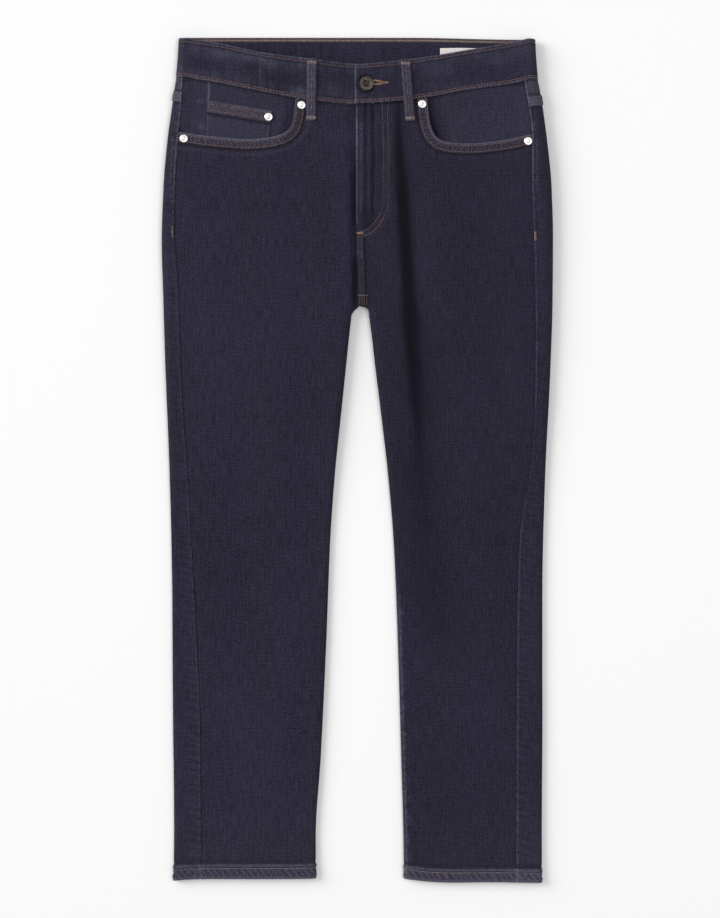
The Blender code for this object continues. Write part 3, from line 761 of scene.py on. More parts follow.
def hem(side, x, height, seed):
    """A hem, roped below its stitches and ridged above them. Returns its relief and its wear."""
    stitch = HEM_STITCH[side]
    rope = puckers(x + 0.9 * height, HEM_PITCH, seed)
    rope = rope + 0.5 * puckers(x + 0.3 * height, HEM_TWIST, seed + 3)
    below = ramp(height, 0.5, 3.5) * (1 - ramp(height, stitch - 2.0, stitch))
    above = height - stitch
    ripple = 0.7 + 0.45 * wander(x / 2.6, seed + 7)
    ridge = ripple * mound(above - 3.4, 1.6)
    relief = 0.7 * (rope * below + 1 - ramp(above, 3.2, 6.4)) + 0.5 * ridge
    relief = relief + lines(above, (0, 1.1, -0.6), (8.2, 2.0, -0.35))
    wear = HEM_WEAR[side] * (1 - ramp(above, 3, 6)) + 0.42 * (rope * below + mound(height, 1.4))
    # The dark lines just above the stitches and above the ridge are painted shade.
    return relief, wear + 0.4 * ridge + lines(above, (1.4, 0.7, -0.3), (8.0, 2.2, -0.25))


def hem_rust(height):
    """The brown that shows on a hem and for a hand above it."""
    return 0.12 * (1 - ramp(height, 13, 16)) + 0.06 * (1 - ramp(height, 20, 110))


def seam_wear(side, to_seam, height, wear):
    """Adds the light line of the side seam over the hem, and the left leg's paler foot."""
    wear = wear + 0.07 * (1 - ramp(height, 20, 160)) * (side == LEFT)
    return wear + 0.45 * (1 - ramp(height, 13, 17)) * mound(to_seam - 0.9, 1.0)


def below_band(side, x, h):
    """How far the cloth sinks just under the waistband, which also sets the painted shade there."""
    return 1.4 * (1 - ramp(band_bottom[side](x) - h, 2.0, 7.0))


TEETH_EDGE = 19.6


def fly_finish(x, h, relief, wear, rust):
    """Adds the fly: its raised strip inside the J of stitches, and the ridges of the zip under it."""
    on_fly = h > FLY_END - 4
    from_fly = to_path(FLY_OUTER[::2], x, h)
    inside = (x < FLY_INSIDE) & on_fly
    relief = relief + np.where(inside, 0.45 * ramp(from_fly, 0.4, 2.2), 0.0)
    relief = relief - 0.35 * mound(from_fly, 0.9)
    relief = relief - 0.3 * mound(to_path(FLY_INNER[::2], x, h), 0.8)
    relief = relief + 0.14 * puckers(h + x, 6.4, 31) * mound(from_fly - 3, 3.2) * (h > FLY_END - 7)
    teeth = ramp(h, FLY_END - 6, FLY_END + 6) * ramp(h, 786, 800)
    bend = 1.2 * wander(h / 15, 49)
    groove = x - TEETH_EDGE - bend
    ridges = lines(x, (5.4, 2.6, 1.0), (10.4, 1.8, -0.8))
    ridges = ridges + lines(groove, (-5.6, 2.6, 0.7), (0, 2.0, -1.0), (5, 2.4, 0.4))
    relief = relief + teeth * ridges
    streaks = 0.7 + 0.6 * puckers(h - x, 6.0, 37)
    # Painted shade darkens the grooves beside the zip's ridges; the lighter line on a ridge is wear.
    light = lines(x, (13.6, 2.4, 0.14), (9.8, 1.5, -0.4)) + lines(groove, (-1, 1.8, -0.5))
    wear = wear + teeth * (0.52 * streaks * mound(x - 5.2, 2.3) + light)
    wear = wear - 0.35 * mound(from_fly - 2.9, 1.4) * inside * (h < 880)
    between = (x < FLY_BESIDE) & on_fly
    flecks = np.maximum(wander_over(x / 1.2, h / 2.0, 57), 0) * mound(from_fly - 2.9, 3.2)
    wear = wear + 0.45 * flecks * between
    return relief, wear, rust + 0.25 * mound(from_fly - 2.9, 3.0) * between * (h < 890)


def felled_finish(x, h, relief, wear, rust):
    """Adds the felled seam from the fly down to the crotch, and the rubbed edge of the fly above it.
    """
    felled = (1 - ramp(h, FLY_END - 10, FLY_END - 2)) * ramp(h, 676, 684)
    across = x - front_seam(h)
    relief = relief + felled * 0.6 * ramp(across, 0, 1.0) * (1 - ramp(across, 7.4, 9.0))
    relief = relief + felled * 0.2 * puckers(h, 4.6, 33) * mound(across - 4, 3.4)
    specks = 0.5 + 0.6 * puckers(h + 2 * x, 3.6, 39)
    pair = ramp(h, 728, 746) * (1 - ramp(h, 764, 770))
    wear = wear + 0.95 * mound(across - 0.3, 1.0) * ramp(h, 774, 790)
    wear = wear + pair * lines(across, (0.8, 1.1, 0.5), (5.4, 1.2, 0.5))
    grains = wander_over(x / 1.3, h / 1.9, 59)
    wear = wear + felled * (0.12 * specks + 0.45 * grains) * mound(across - 3.5, 3.4)
    # The dark line just past the felled seam's outer edge is painted shadow.
    wear = wear - 0.7 * felled * mound(across - 8.8, 1.3)
    wear = wear - 0.42 * felled * (1 - pair) * mound(across - 3, 4)
    return relief, wear, rust + 0.3 * felled * mound(across - 4.2, 3.0) * (1 - pair)


def inner_leg_finish(x, h, relief, wear, rust):
    """Adds the puckered inseam of the left leg, which lies on its front below the knee."""
    leg = (h < CROTCH_H) * (1 - ramp(h, 330, 372))
    across = x - inseam[LEFT](h)
    relief = relief + leg * 0.2 * puckers(h, 8.0, 35) * mound(across - 4, 4)
    ridges = puckers(h, 8.0, 35) * mound(across - 5, 4)
    specks = np.maximum(wander_over(x / 1.6, h / 2.2, 45), 0) * mound(across - 6, 4.5)
    near = mound(across - 3.0, 1.8) * (0.75 + 0.4 * wander(h / 2.0, 47))
    wear = wear + leg * (0.5 * near + 0.25 * np.maximum(ridges, 0) + 0.4 * specks)
    # Painted shade: a dark line at the inseam's edge, and the left leg darker, most above the knee.
    wear = wear - 0.35 * leg * mound(across - 0.3, 0.9)
    wear = wear - 0.12 * ramp(880 - h, 0, 30) - 0.1 * ramp(h, 480, 600)
    return relief, wear, rust + 0.12 * leg * near


def front_finish(side, x, h, height):
    """The relief, wear and rust of a front. height is measured up from the hem."""
    relief, wear = hem(side, x, height, 11 + side)
    to_seam = np.abs(x - side_seam[side](h))
    relief = relief + (drape(x, h) + creases(x, h)) * ramp(height, 10, 40) * edge_roll(x, h)
    relief = relief - 0.5 * mound(to_seam, 2.4)
    shin = 0.3 + 0.7 * ramp(h, 500, 200)
    relief = relief + 0.16 * puckers(h, 8.5, 21 + side) * mound(to_seam - 2, 4) * shin
    relief = relief + 0.45 * mound(to_seam - 2, 4) * (1 - ramp(height, 12, 16))
    wear = seam_wear(side, to_seam, height, wear)
    rust = hem_rust(height)
    if side == LEFT:
        for finish in (fly_finish, felled_finish, inner_leg_finish):
            relief, wear, rust = finish(x, h, relief, wear, rust)
    across = to_mouth(side, x, h)
    relief = relief + 0.45 * mound(across - 18.5, 2.8)
    # A dark line of painted shadow lies just past the pocket mouth's turned strip.
    wear = wear + lines(across, (18.0, 2.2, 0.1), (13.4, 1.5, -0.5))
    sink = below_band(side, x, h)
    # Painted shade darkens the cloth where it sinks under the waistband, and in folds and hollows.
    return relief - sink, wear - 0.3 * sink - fold_shade(x, h), rust


def under_mouth(side, x, h):
    """The front passes under the turned edge of its pocket mouth."""
    return 1.2 * (1 - ramp(to_mouth(side, x, h), 12.6, 15.4))


# ---------------------------------------------------------------- fronts

HEM_ROWS = np.arange(0, 20, 1.25)
LEG_ROWS = np.arange(20, 664, 2.6)
CROTCH_ROWS = np.arange(664, 712, 1.6)
HIP_ROWS = np.linspace(712, HIP_ROW, 58)
PANEL_ROWS = np.concatenate([HEM_ROWS, LEG_ROWS, CROTCH_ROWS, HIP_ROWS])
ROLL_TURNS = np.linspace(0, 1, 10)
SEAM_ZONE, VALLEY_ZONE = 8.0, 10.0
FAN_ROWS, FAN_EASE = 28, 0.85
WAIST_COLUMNS = {RIGHT: 30, LEFT: 56}
ZONE_COLUMNS = {RIGHT: (69, 6), LEFT: (26, 15, 48, 6)}
WAIST_LEVEL = 925.0


def front_inner(side, h):
    """The right front runs on under the left one beside the fly."""
    under_fly = UNDERLAP * ramp(h, FLY_END, FLY_END + 14) if side == RIGHT else 0.0
    return inner_edge(side, h) + under_fly


def fly_dip(side, x, h):
    """How far the right front's edge lies below the left one's."""
    if side == LEFT:
        return 0.0
    return UNDERLAP_DIP * ramp(x, -13, -3.5) * ramp(h, FLY_END - 28, FLY_END - 8)


def front_stations(side, h):
    """The columns of a front at each height, from the middle to the side seam."""
    h = np.asarray(h, float)[:, None]
    start = inseam_turn(side, h) + inseam_gap(side, h)
    turns = np.radians(mix(start, 90, ROLL_TURNS[None, :]))
    rolled = front_inner(side, h) + side * loft_roll(h) * (1 - np.cos(turns))
    outer = side_seam[side](h) - side * SEAM_GAP / 2
    stops = [rolled[:, -1:], outer - side * SEAM_ZONE, outer]
    if side == LEFT:
        valley = fold_path(rows_of(FOLDS)[0], h)
        stops[1:1] = [valley - VALLEY_ZONE, valley + VALLEY_ZONE]
    spans = [rolled]
    for start, end, count in zip(stops, stops[1:], ZONE_COLUMNS[side]):
        spans.append(mix(start, end, np.linspace(0, 1, count + 1)[None, 1:]))
    return np.concatenate(spans, axis=1)


def front_crown(side, stations):
    """The upper end of each column: along the waistband, then round the pocket mouth."""
    waist_count = WAIST_COLUMNS[side]
    mouth = path_of(MOUTH_TABLES[side], len(stations) - waist_count)
    share = (stations[:waist_count] - stations[0]) / (stations[waist_count] - stations[0])
    waist = mix(front_inner(side, WAIST_LEVEL), mouth[0, 0], share)
    xs = np.concatenate([waist, mouth[:, 0]])
    hs = band_bottom[side](xs) - BAND_GAP
    hs[waist_count:] = np.minimum(mouth[:, 1], hs[waist_count:])
    xs[-1] = side_seam[side](hs[-1]) - side * SEAM_GAP * 1.5
    return xs, hs


def front_places(side):
    """Every place (x, h) of a front, row by row, and its height above the hem."""
    stations = front_stations(side, PANEL_ROWS)
    heights = np.repeat(PANEL_ROWS[:, None], stations.shape[1], axis=1)
    crown_x, crown_h = front_crown(side, stations[-1])
    t = np.linspace(0, 1, FAN_ROWS + 1)[1:, None] ** FAN_EASE
    x = np.concatenate([stations, mix(stations[-1][None, :], crown_x[None, :], t)])
    height = np.concatenate([heights, mix(HIP_ROW, crown_h[None, :], t)])
    return x, height + hem_line(x, height), height


def front_face(side, x, h):
    return top(x, h) - fly_dip(side, x, h) - under_mouth(side, x, h)


def wall_at(height):
    """How thick the cloth is: the hem is turned up twice."""
    return np.where(height < HEM_DEEP, HEM_WALL, CLOTH)


MOUTH_ACROSS = np.array(
    (0, 0.6, 1.2, 2.0, 2.6, 3.2, 3.8, 4.6, 5.6, 6.6, 7.6, 8.6, 9.4, 10.0, 10.6, 11.2, 11.8)
)
MOUTH_ROWS = (2.6, 10.0)
MOUTH_WALL = 1.1


def front_cloth(side):
    x, h, height = front_places(side)
    relief, wear, rust = front_finish(side, x, h, height)
    grid = np.stack([x, h, front_face(side, x, h)], -1)
    edges = (1.0, 0.25, 0.3, 1.0 if side == LEFT else 0.3)
    wall = wall_at(height) - 0.6 * under_mouth(side, x, h)
    return Cloth(grid, wall, relief, edges, wear, rust, flip=side == RIGHT)


def mouth_edge(side):
    """The turned and twice stitched edge of a pocket mouth, in its own finely woven strip."""
    path = path_of(MOUTH_TABLES[side], 168)
    step = unit(np.gradient(path, axis=0))
    down = np.stack([step[:, 1], -step[:, 0]], -1) * side
    places = path[None, :, :] + down[None, :, :] * MOUTH_ACROSS[:, None, None]
    x, h = places[..., 0], places[..., 1]
    h = np.minimum(h, band_bottom[side](x) - 0.2)
    across = MOUTH_ACROSS[:, None]
    lift = 0.35 * ramp(across, 0, 1.5) - 0.3 * ramp(across, 9.9, 11.8)
    grid = np.stack([x, h, top(x, h) + lift], -1)
    along = np.arange(len(path))[None, :] * np.linalg.norm(np.diff(path, axis=0), axis=1).mean()
    ticks = puckers(along + 0.5 * across, 5.2, 41 + side)
    between = ramp(across, 3.2, 4.6) * (1 - ramp(across, 8.6, 9.9))
    ticks = 0.6 * ticks + 0.6 * puckers(along + 0.2 * across, 3.1, 46 + side)
    relief = 0.45 * ticks * between + 0.16 * puckers(along, 5.2, 44) * mound(across - 1, 1.5)
    relief = relief - grooves(across, MOUTH_ROWS)
    # The dark line at the strip's outer edge is painted shadow; the light top edge is wear.
    wear = 0.08 + lines(across, (0.4, 1.5, 0.85), (12.2, 0.8, -0.6)) + (0.1 + 0.46 * ticks) * between
    wear = wear - (0.17 if side == LEFT else 0.4 * ramp(x, -94, -76))
    rust = 0.22 + lines(across, (3.0, 1.0, 0.3), (10, 1.2, 0.3), (0, 1.8, -0.22))
    return Cloth(grid, MOUTH_WALL, relief, (1, 0.3, 1.0, 0.3), wear, rust, flip=side == LEFT)


# ---------------------------------------------------------------- backs and yokes

FRONT_TURNS = np.linspace(90, 0, 17)[:-1]
EDGE_ROLL = np.linspace(0, -90, 9)
UNDER_SHARES = np.linspace(0, 1, 36)[1:-1]
INNER_END = -25
INNER_ROLL = np.linspace(-90, INNER_END, 6)
LAST_ROLL = np.linspace(0, 1, 6)[1:]
FRONT_ZONE = len(FRONT_TURNS)
RING_COLUMNS = sum(map(len, (FRONT_TURNS, EDGE_ROLL, UNDER_SHARES, INNER_ROLL, LAST_ROLL)))
RIM_LEVEL = 957.0


def ring(side, heights):
    """A back's rows, from the side seam round the outer edge, under the leg and to the middle."""
    columns = []

    def level(h, x, face):
        place = h + hem_line(x, h)
        columns.append(np.stack([x, place, face(x, place)], -1))

    def rolled(h, origin, way, angle):
        x = origin + way * loft_roll(h) * (1 - np.cos(np.radians(angle)))
        place = h + hem_line(x, h)
        beside = np.where(angle > 0, top(x, place), under(x, place))
        columns.append(np.stack([x, place, np.where(angle == 0, loft_rise(h) / 2, beside)], -1))

    steps = iter(np.broadcast_to(heights, (len(heights), RING_COLUMNS)).T)
    for angle in FRONT_TURNS:
        h = next(steps)
        seam = side_seam[side](h) + side * SEAM_GAP / 2
        level(h, mix(side_edge[side](h), seam, 1 - math.cos(math.radians(angle))), top)
    for angle in EDGE_ROLL:
        h = next(steps)
        rolled(h, side_edge[side](h), -side, angle)
    for share in UNDER_SHARES:
        h = next(steps)
        start = side_edge[side](h) - side * loft_roll(h)
        level(h, mix(start, inner_edge(side, h) + side * loft_roll(h), share), under)
    for angle in INNER_ROLL:
        h = next(steps)
        rolled(h, inner_edge(side, h), side, angle)
    for share in LAST_ROLL:
        h = next(steps)
        last_turn = inseam_turn(side, h) - inseam_gap(side, h)
        rolled(h, inner_edge(side, h), side, mix(INNER_END, last_turn, share))
    return np.stack(columns, axis=1)


def yoke_line(side):
    """The height of the yoke seam at each column of a back."""
    return yoke_seam[side](np.abs(ring(side, np.array([[WAIST_LEVEL]]))[0, :, 0]))


# Between these heights off the floor, cloth goes from lying on it to being free to stand proud.
LYING = (1.0, 4.0)


def back_finish(side, grid, height):
    """The relief, wear and rust of a back."""
    x, h, z = grid[..., 0], grid[..., 1], grid[..., 2]
    places = np.arange(grid.shape[1])[None, :]
    on_front = places <= FRONT_ZONE
    relief, wear = hem(side, x, height, 51 + side)
    to_seam = np.where(on_front, np.abs(x - side_seam[side](h)), FAR)
    wear = seam_wear(side, to_seam, height, wear)
    hidden = ramp(h, 420, 450) * (1 - ramp(h, 540, 570)) * (side == LEFT)
    proud = on_front * mound(to_seam, 3.2)
    relief = relief + 0.7 * proud * (1 - 0.75 * hidden)
    strong = 0.4 + 0.6 * ramp(h, 560, 240)
    ridges = puckers(h + 0.3 * x, 8.8, 61 + side) * mound(to_seam - 7, 8)
    relief = relief + on_front * strong * 0.36 * ridges * ramp(height, 14, 24)
    dotted = 0.65 + 0.5 * wander(h / 2.4, 65 + side)
    line = dotted * (0.4 + 0.38 * ramp(h, 780, 860)) * (1 - 0.9 * hidden)
    wear = wear + on_front * (line * mound(to_seam - 0.5, 0.9) + 0.16 * strong * ridges)
    flecks = np.maximum(wander_over(x / 1.4, h / 2.6, 67), 0)
    wear = wear + 0.4 * on_front * ramp(h, 795, 825) * mound(to_seam - 3, 4.5) * flecks
    relief = relief + on_front * drape(x, h) * 0.7
    relief = mix(np.minimum(relief, 0), relief, ramp(z, *LYING))
    seat = (z < 3) * ramp(h, 690, 700) * (side == LEFT)
    across = x - front_seam(h)
    relief = relief + seat * 0.8 * ramp(across, 0.3, 1.2) * (1 - ramp(across, 8.2, 10.2))
    ripples = puckers(h, 4.6, 75) * mound(across - 5, 4)
    wear = wear + seat * (0.3 * mound(across - 0.8, 1.6) + 0.2 * ripples)
    inseam_line = mound((places - grid.shape[1] + 1) * 0.8, 1.6)
    wear = wear + 0.35 * inseam_line * ramp(CROTCH_H - h, 0, 10)
    return relief, wear, hem_rust(height)


BACK_FAN = 26


def back_cloth(side):
    heights = PANEL_ROWS[:, None]
    heads = yoke_line(side) - SEAM_GAP / 2
    upper = mix(HIP_ROW, heads[None, :], np.linspace(0, 1, BACK_FAN + 1)[1:, None])
    heights = np.concatenate([np.repeat(heights, len(heads), axis=1), upper])
    grid = ring(side, heights)
    relief, wear, rust = back_finish(side, grid, heights)
    # Painted shadow on the back, just below the yoke's proud fell.
    wear = wear - 0.6 * mound(heads[None, :] - heights, 2.2) * (np.arange(len(heads)) <= FRONT_ZONE)
    return Cloth(grid, wall_at(heights), relief, (1, 0.3, 0.2, 0.5), wear, rust, flip=side == RIGHT)


FELL_STEPS = np.array((0, 0.9, 1.8, 2.8, 4.4, 6.2, 8.0, 9.4, 10.5, 11.4, 12.4, 13.6))
FELL_ROWS = (2, 8)
YOKE_UPPER = 16


def back_top(x):
    """The upper edge of the back of the waistband, which falls a little to the wearer's left."""
    return LENGTH - 2.4 * ramp(x, 60, 200)


def band_foot(side, x, share):
    """The waistband's lower edge, where share is 0 on the back and 1 on the front."""
    return mix(BAND_BACK_BOTTOM, band_bottom[side](x), share)


def yoke_cloth(side):
    """A yoke, with the fell of its seam standing proud along its foot."""
    feet = yoke_line(side) + SEAM_GAP / 2
    rim = ring(side, np.array([[RIM_LEVEL]]))[0]
    share = np.clip(2 * rim[:, 2] / loft_rise(RIM_LEVEL) - 0.5, 0.0, 1.0)
    heads = band_foot(side, rim[:, 0], share) - BAND_GAP
    fell = feet[None, :] + FELL_STEPS[:, None]
    rest = mix(fell[-1][None, :], heads[None, :], np.linspace(0, 1, YOKE_UPPER + 1)[1:, None])
    heights = np.concatenate([fell, rest])
    grid = ring(side, heights)
    relief, wear, rust = back_finish(side, grid, heights)
    above = heights - feet[None, :]
    bulge = 1.3 * ramp(above, 0, 1.0) * (1 - ramp(above, 11.4, 13.2))
    along = np.cumsum(np.hypot(*np.gradient(grid, axis=1)[..., (0, 2)].transpose(2, 0, 1)), axis=1)
    ripples = puckers(along + 0.8 * above, 4.6, 71) * (above < 12)
    relief = relief + (bulge + 0.3 * ripples) * ramp(grid[..., 2], *LYING)
    relief = relief - grooves(above, FELL_STEPS[list(FELL_ROWS)])
    on_front = np.arange(grid.shape[1])[None, :] <= FRONT_ZONE
    relief = relief - on_front * below_band(side, grid[..., 0], heights)
    wear = wear + lines(above, (0.6, 1.0, 0.2), (6.0, 4.0, 0.3), (13.4, 1.2, -0.5)) + 0.35 * ripples
    wear = wear + on_front * (0.34 if side == LEFT else 0.26)
    rust = rust + lines(above, (2, 1.6, 0.45), (10, 1.6, 0.45))
    rust = rust + 0.25 * on_front * (above < 12) * (side == RIGHT)
    return Cloth(grid, CLOTH, relief, (0.8, 0.3, 0.2, 0.3), wear, rust, flip=side == RIGHT)


# ---------------------------------------------------------------- waistband and loops

BAND_STEPS = np.concatenate(
    [np.arange(0, 6.3, 0.8), np.arange(6.4, 39.2, 1.12), np.arange(39.2, 45.7, 0.8)]
)
BAND_DEEP = BAND_STEPS[-1]
BAND_ROWS = {"low": 1, "next": 4, "top": len(BAND_STEPS) - 5}
LEFT_BAND_XS = np.concatenate([np.arange(-1.9, 46, 1.0), np.arange(46.1, 191, 2.0)])
END_COLUMN = 3
BACK_BAND_XS = np.arange(186, -187, -4.0)
RIGHT_BAND_XS = np.concatenate([np.arange(-190, -12, 2.0), np.arange(-12, 27, 1.5)])
BAND_TURNS = np.linspace(90, -90, 23)
HOLE_H, HOLE_START, HOLE_END = 951.4, 17.0, 36.5
BUTTON_X, BUTTON_H = 11.2, 950.0


# Where the band has rubbed light.
BAND_SPOTS = (
    ("x", "h", "wide", "high", "wear"),
    (-160.0, 985.0, 14.0, 5.0, 0.22),
    (-128.0, 980.0, 16.0, 6.0, 0.26),
    (-104.0, 974.0, 9.0, 7.0, 0.2),
    (-116.0, 962.0, 1.6, 18.0, 0.2),
    (-70.0, 941.0, 9.0, 6.0, 0.24),
    (-30.0, 944.0, 12.0, 9.0, 0.14),
    (96.0, 966.0, 20.0, 8.0, 0.12),
    (168.0, 975.0, 16.0, 9.0, 0.12),
)


def band_face(side, x, t, rise):
    """One column of the band's front, standing this far off the plain form."""
    h = mix(band_bottom[side](x), band_top[side](x), t)
    return np.stack([x + 0 * h, h, top(x, h) + rise], -1)


def band_turn(side, turns, t):
    """The band going round one side of the garment."""
    points = []
    for angle in turns:
        share = (1 + math.sin(math.radians(angle))) / 2
        x = side_edge[side](LENGTH)
        foot = band_foot(side, x, min(max(2 * share - 0.5, 0.0), 1.0))
        h = mix(foot, mix(back_top(x), band_top[side](x), share), t)
        x = side_edge[side](h) - side * loft_roll(h) * (1 - math.cos(math.radians(angle)))
        if angle > 0:
            z = top(x, h) + BAND_PROUD * math.sin(math.radians(angle))
        else:
            z = under(x, h) if angle < 0 else loft_rise(h) / 2
        points.append(np.stack([x, h, z], -1))
    return points


def band_grid():
    """The band's plain outside: left front, left edge, back, right edge and right front."""
    t = BAND_STEPS / BAND_DEEP
    columns = []
    for x in LEFT_BAND_XS:
        columns.append(band_face(LEFT, x, t, BAND_PROUD + BAND_RISE * (1 - ramp(x, 30, 60))))
    columns += band_turn(LEFT, BAND_TURNS, t)
    for x in BACK_BAND_XS:
        h = mix(BAND_BACK_BOTTOM, back_top(x), t)
        columns.append(np.stack([x + 0 * h, h, under(x, h)], -1))
    columns += band_turn(RIGHT, BAND_TURNS[::-1], t)
    for x in RIGHT_BAND_XS:
        columns.append(band_face(RIGHT, x, t, BAND_PROUD - BAND_DIP * ramp(x, -34, -12)))
    return np.stack(columns, axis=1)


def band_finish(grid):
    """The relief, wear and rust of the band: drawn in by its rows, its buttonhole and its button."""
    x, h = grid[..., 0], grid[..., 1]
    low, high = BAND_STEPS[:, None], BAND_DEEP - BAND_STEPS[:, None]
    steps = np.linalg.norm(np.diff(grid[20], axis=0), axis=1)
    along = np.concatenate([[0], np.cumsum(steps)])[None, :]
    scallops = puckers(along + 0.4 * low, 6.2, 81)
    edges = scallops * (mound(low - 1.6, 2.4) + 0.8 * mound(high - 1.6, 2.4))
    relief = 0.24 * edges
    for name, row in BAND_ROWS.items():
        relief = relief - (0.2 if name == "next" else 0.32) * mound(low - BAND_STEPS[row], 0.8)
    relief = relief + 0.3 * wander_over(along / 46, low / 22 + 9, 82) * mound((low - 23) / 18, 1.0)
    on_top = np.arange(grid.shape[1])[None, :] < len(LEFT_BAND_XS)
    slit = on_top * ramp(x, HOLE_START - 1, HOLE_START + 1) * (1 - ramp(x, HOLE_END - 2, HOLE_END))
    dimple = 1 - ramp(np.hypot(x - BUTTON_X, h - BUTTON_H), 9.0, 13.5)
    relief = relief - 1.5 * slit * mound(h - HOLE_H, 0.8) - 1.1 * on_top * dimple
    lying = ramp(grid[..., 2], *LYING)
    relief = mix(np.minimum(relief, 0), relief, lying)
    fine = 0.8 + 0.5 * wander(along[0] / 2.2, 85)[None, :]
    wear = fine * (0.5 * mound(high, 1.0) + 0.36 * mound(low, 1.0)) + 0.24 * edges
    broad = lying * (fine - 0.2) * np.where(x < 0, 1.0, 0.45)
    wear = wear + broad * (0.18 * mound(high - 7.5, 4.5) + 0.14 * mound(low - 9, 4.5))
    wear = wear + 0.75 * on_top * mound(x - LEFT_BAND_XS[0], 0.9) - 0.3 * mound(high - 4.6, 1.0)
    wear = wear + 0.12 * lying * wander_over(along / 30 + 5, low / 16, 84) + 0.06 * (fine - 0.8)
    # Painted shade in a ring round the button.
    wear = wear - 0.9 * on_top * mound(np.hypot(x - BUTTON_X + 1.5, h - BUTTON_H + 0.6) - 9.4, 2.2)
    wear = wear + lying * spots(BAND_SPOTS, x, h)
    rust = 0.36 * (mound(low - 1.8, 2.0) + mound(high - 3.0, 1.4))
    return relief, wear, rust + 1.1 * (1 - lying) * mound(high, 3.8)


def band_cloth():
    grid = band_grid()
    relief, wear, rust = band_finish(grid)
    return Cloth(grid, BAND_WALL, relief, (1, 0.6, 1, 1), wear, rust)


LOOP_ACROSS = np.linspace(-0.5, 0.5, 13)
LOOP_STITCHES = (2, 10)
LOOP_RIBS = 3


def loop_finish(across, along, seed):
    """The relief and wear of a belt loop, which is ribbed by its folds."""
    rib = np.cos(2 * math.pi * LOOP_RIBS * across)
    nicks = puckers(along + 5 * across, 2.9, seed)
    relief = 0.2 * (1 - (2 * across) ** 4) + 0.22 * rib + 0.1 * nicks
    relief = relief - grooves(across * LOOP_WIDTH, LOOP_ACROSS[list(LOOP_STITCHES)] * LOOP_WIDTH)
    wear = 0.24 + 0.25 * mound((np.abs(across) - 0.5) * LOOP_WIDTH, 1.0) + 0.2 * rib
    grains = wander_over(across * LOOP_WIDTH / 1.7 + 0 * along, along / 2.4, seed + 3)
    return relief, wear + (0.3 * nicks + 0.3 * grains) * (np.abs(across) < 0.4)


def front_loop(spec):
    """A loop on the front, tacked at both ends and bowed over the waistband."""
    side = RIGHT if spec["x_top"] < 0 else LEFT
    seam, low, high = band_bottom[side](spec["x_top"]), spec["bottom"], spec["top"]
    bows = [mix(seam, high, share) for share in (0.3, 0.7)]
    knots = np.array([low, low + 8, seam - 3, *bows, high - 7, high])
    lifts = np.array([0, 0.2, 0.6, 0.6 + LOOP_BOW, 0.6 + LOOP_BOW, 0.9, 0.6])
    h = np.linspace(low, high, 52)[:, None]
    lift = smooth_curve(knots, lifts)(h)
    lift = lift - 0.5 * mound(h - low - 3, 1.6) - 0.5 * mound(h - high + 2.6, 1.6)
    middle = mix(spec["x_bottom"], spec["x_top"], (h - low) / (high - low))
    x = middle + LOOP_ACROSS[None, :] * LOOP_WIDTH
    h = h + 0 * x
    grid = np.stack([x, h, top(x, h) + lift + LAYER_GAP + LOOP_WALL], -1)
    relief, wear = loop_finish(LOOP_ACROSS[None, :], h, 91 + side)
    # Painted shadow along the loop's edge towards the wearer's left.
    wear = wear + (0.17 if side == RIGHT else 0.05) - 0.5 * mound(LOOP_ACROSS[None, :] - 0.5, 0.08)
    return Cloth(grid, LOOP_WALL, relief, (1, 1, 1, 1), wear, 0.18 if side == RIGHT else 0.28)


def plate(low, high, rows, columns):
    """The places x and h of a flat strip of cloth between two corners."""
    x = np.linspace(low[0], high[0], columns)[None, :] + np.zeros((rows, 1))
    h = np.linspace(low[1], high[1], rows)[:, None] + np.zeros((1, columns))
    return x, h


def corners_of(node):
    """A solid's lowest and highest corners in millimetres, as (x, h, z)."""
    return [np.array(corner) / MM + (0, MIDDLE, 0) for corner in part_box(node)]


def back_loop(node, seed):
    """A loop under the back of the waistband, facing down."""
    low, high = corners_of(node)
    x, h = plate(low, high, 40, len(LOOP_ACROSS))
    grid = np.stack([x, h, 0 * x], -1)
    relief, wear = loop_finish(LOOP_ACROSS[None, :] + 0 * x, h, seed)
    return Cloth(grid, high[2] - low[2], relief - 0.4, (1, 1, 1, 1), wear, 0.3, flip=True)


# ---------------------------------------------------------------- pockets


FACING_START = {RIGHT: -60.0, LEFT: 70.0}
HOLLOW_X, HOLLOW_H, HOLLOW_DEEP = 90, 896, 2.6

# Where the right facing has rubbed light.
FACING_SPOTS = (
    ("x", "h", "wide", "high", "wear"),
    (-185.0, 900.0, 4.0, 4.0, 0.28),
    (-184.0, 930.5, 6.0, 1.0, 0.3),
)


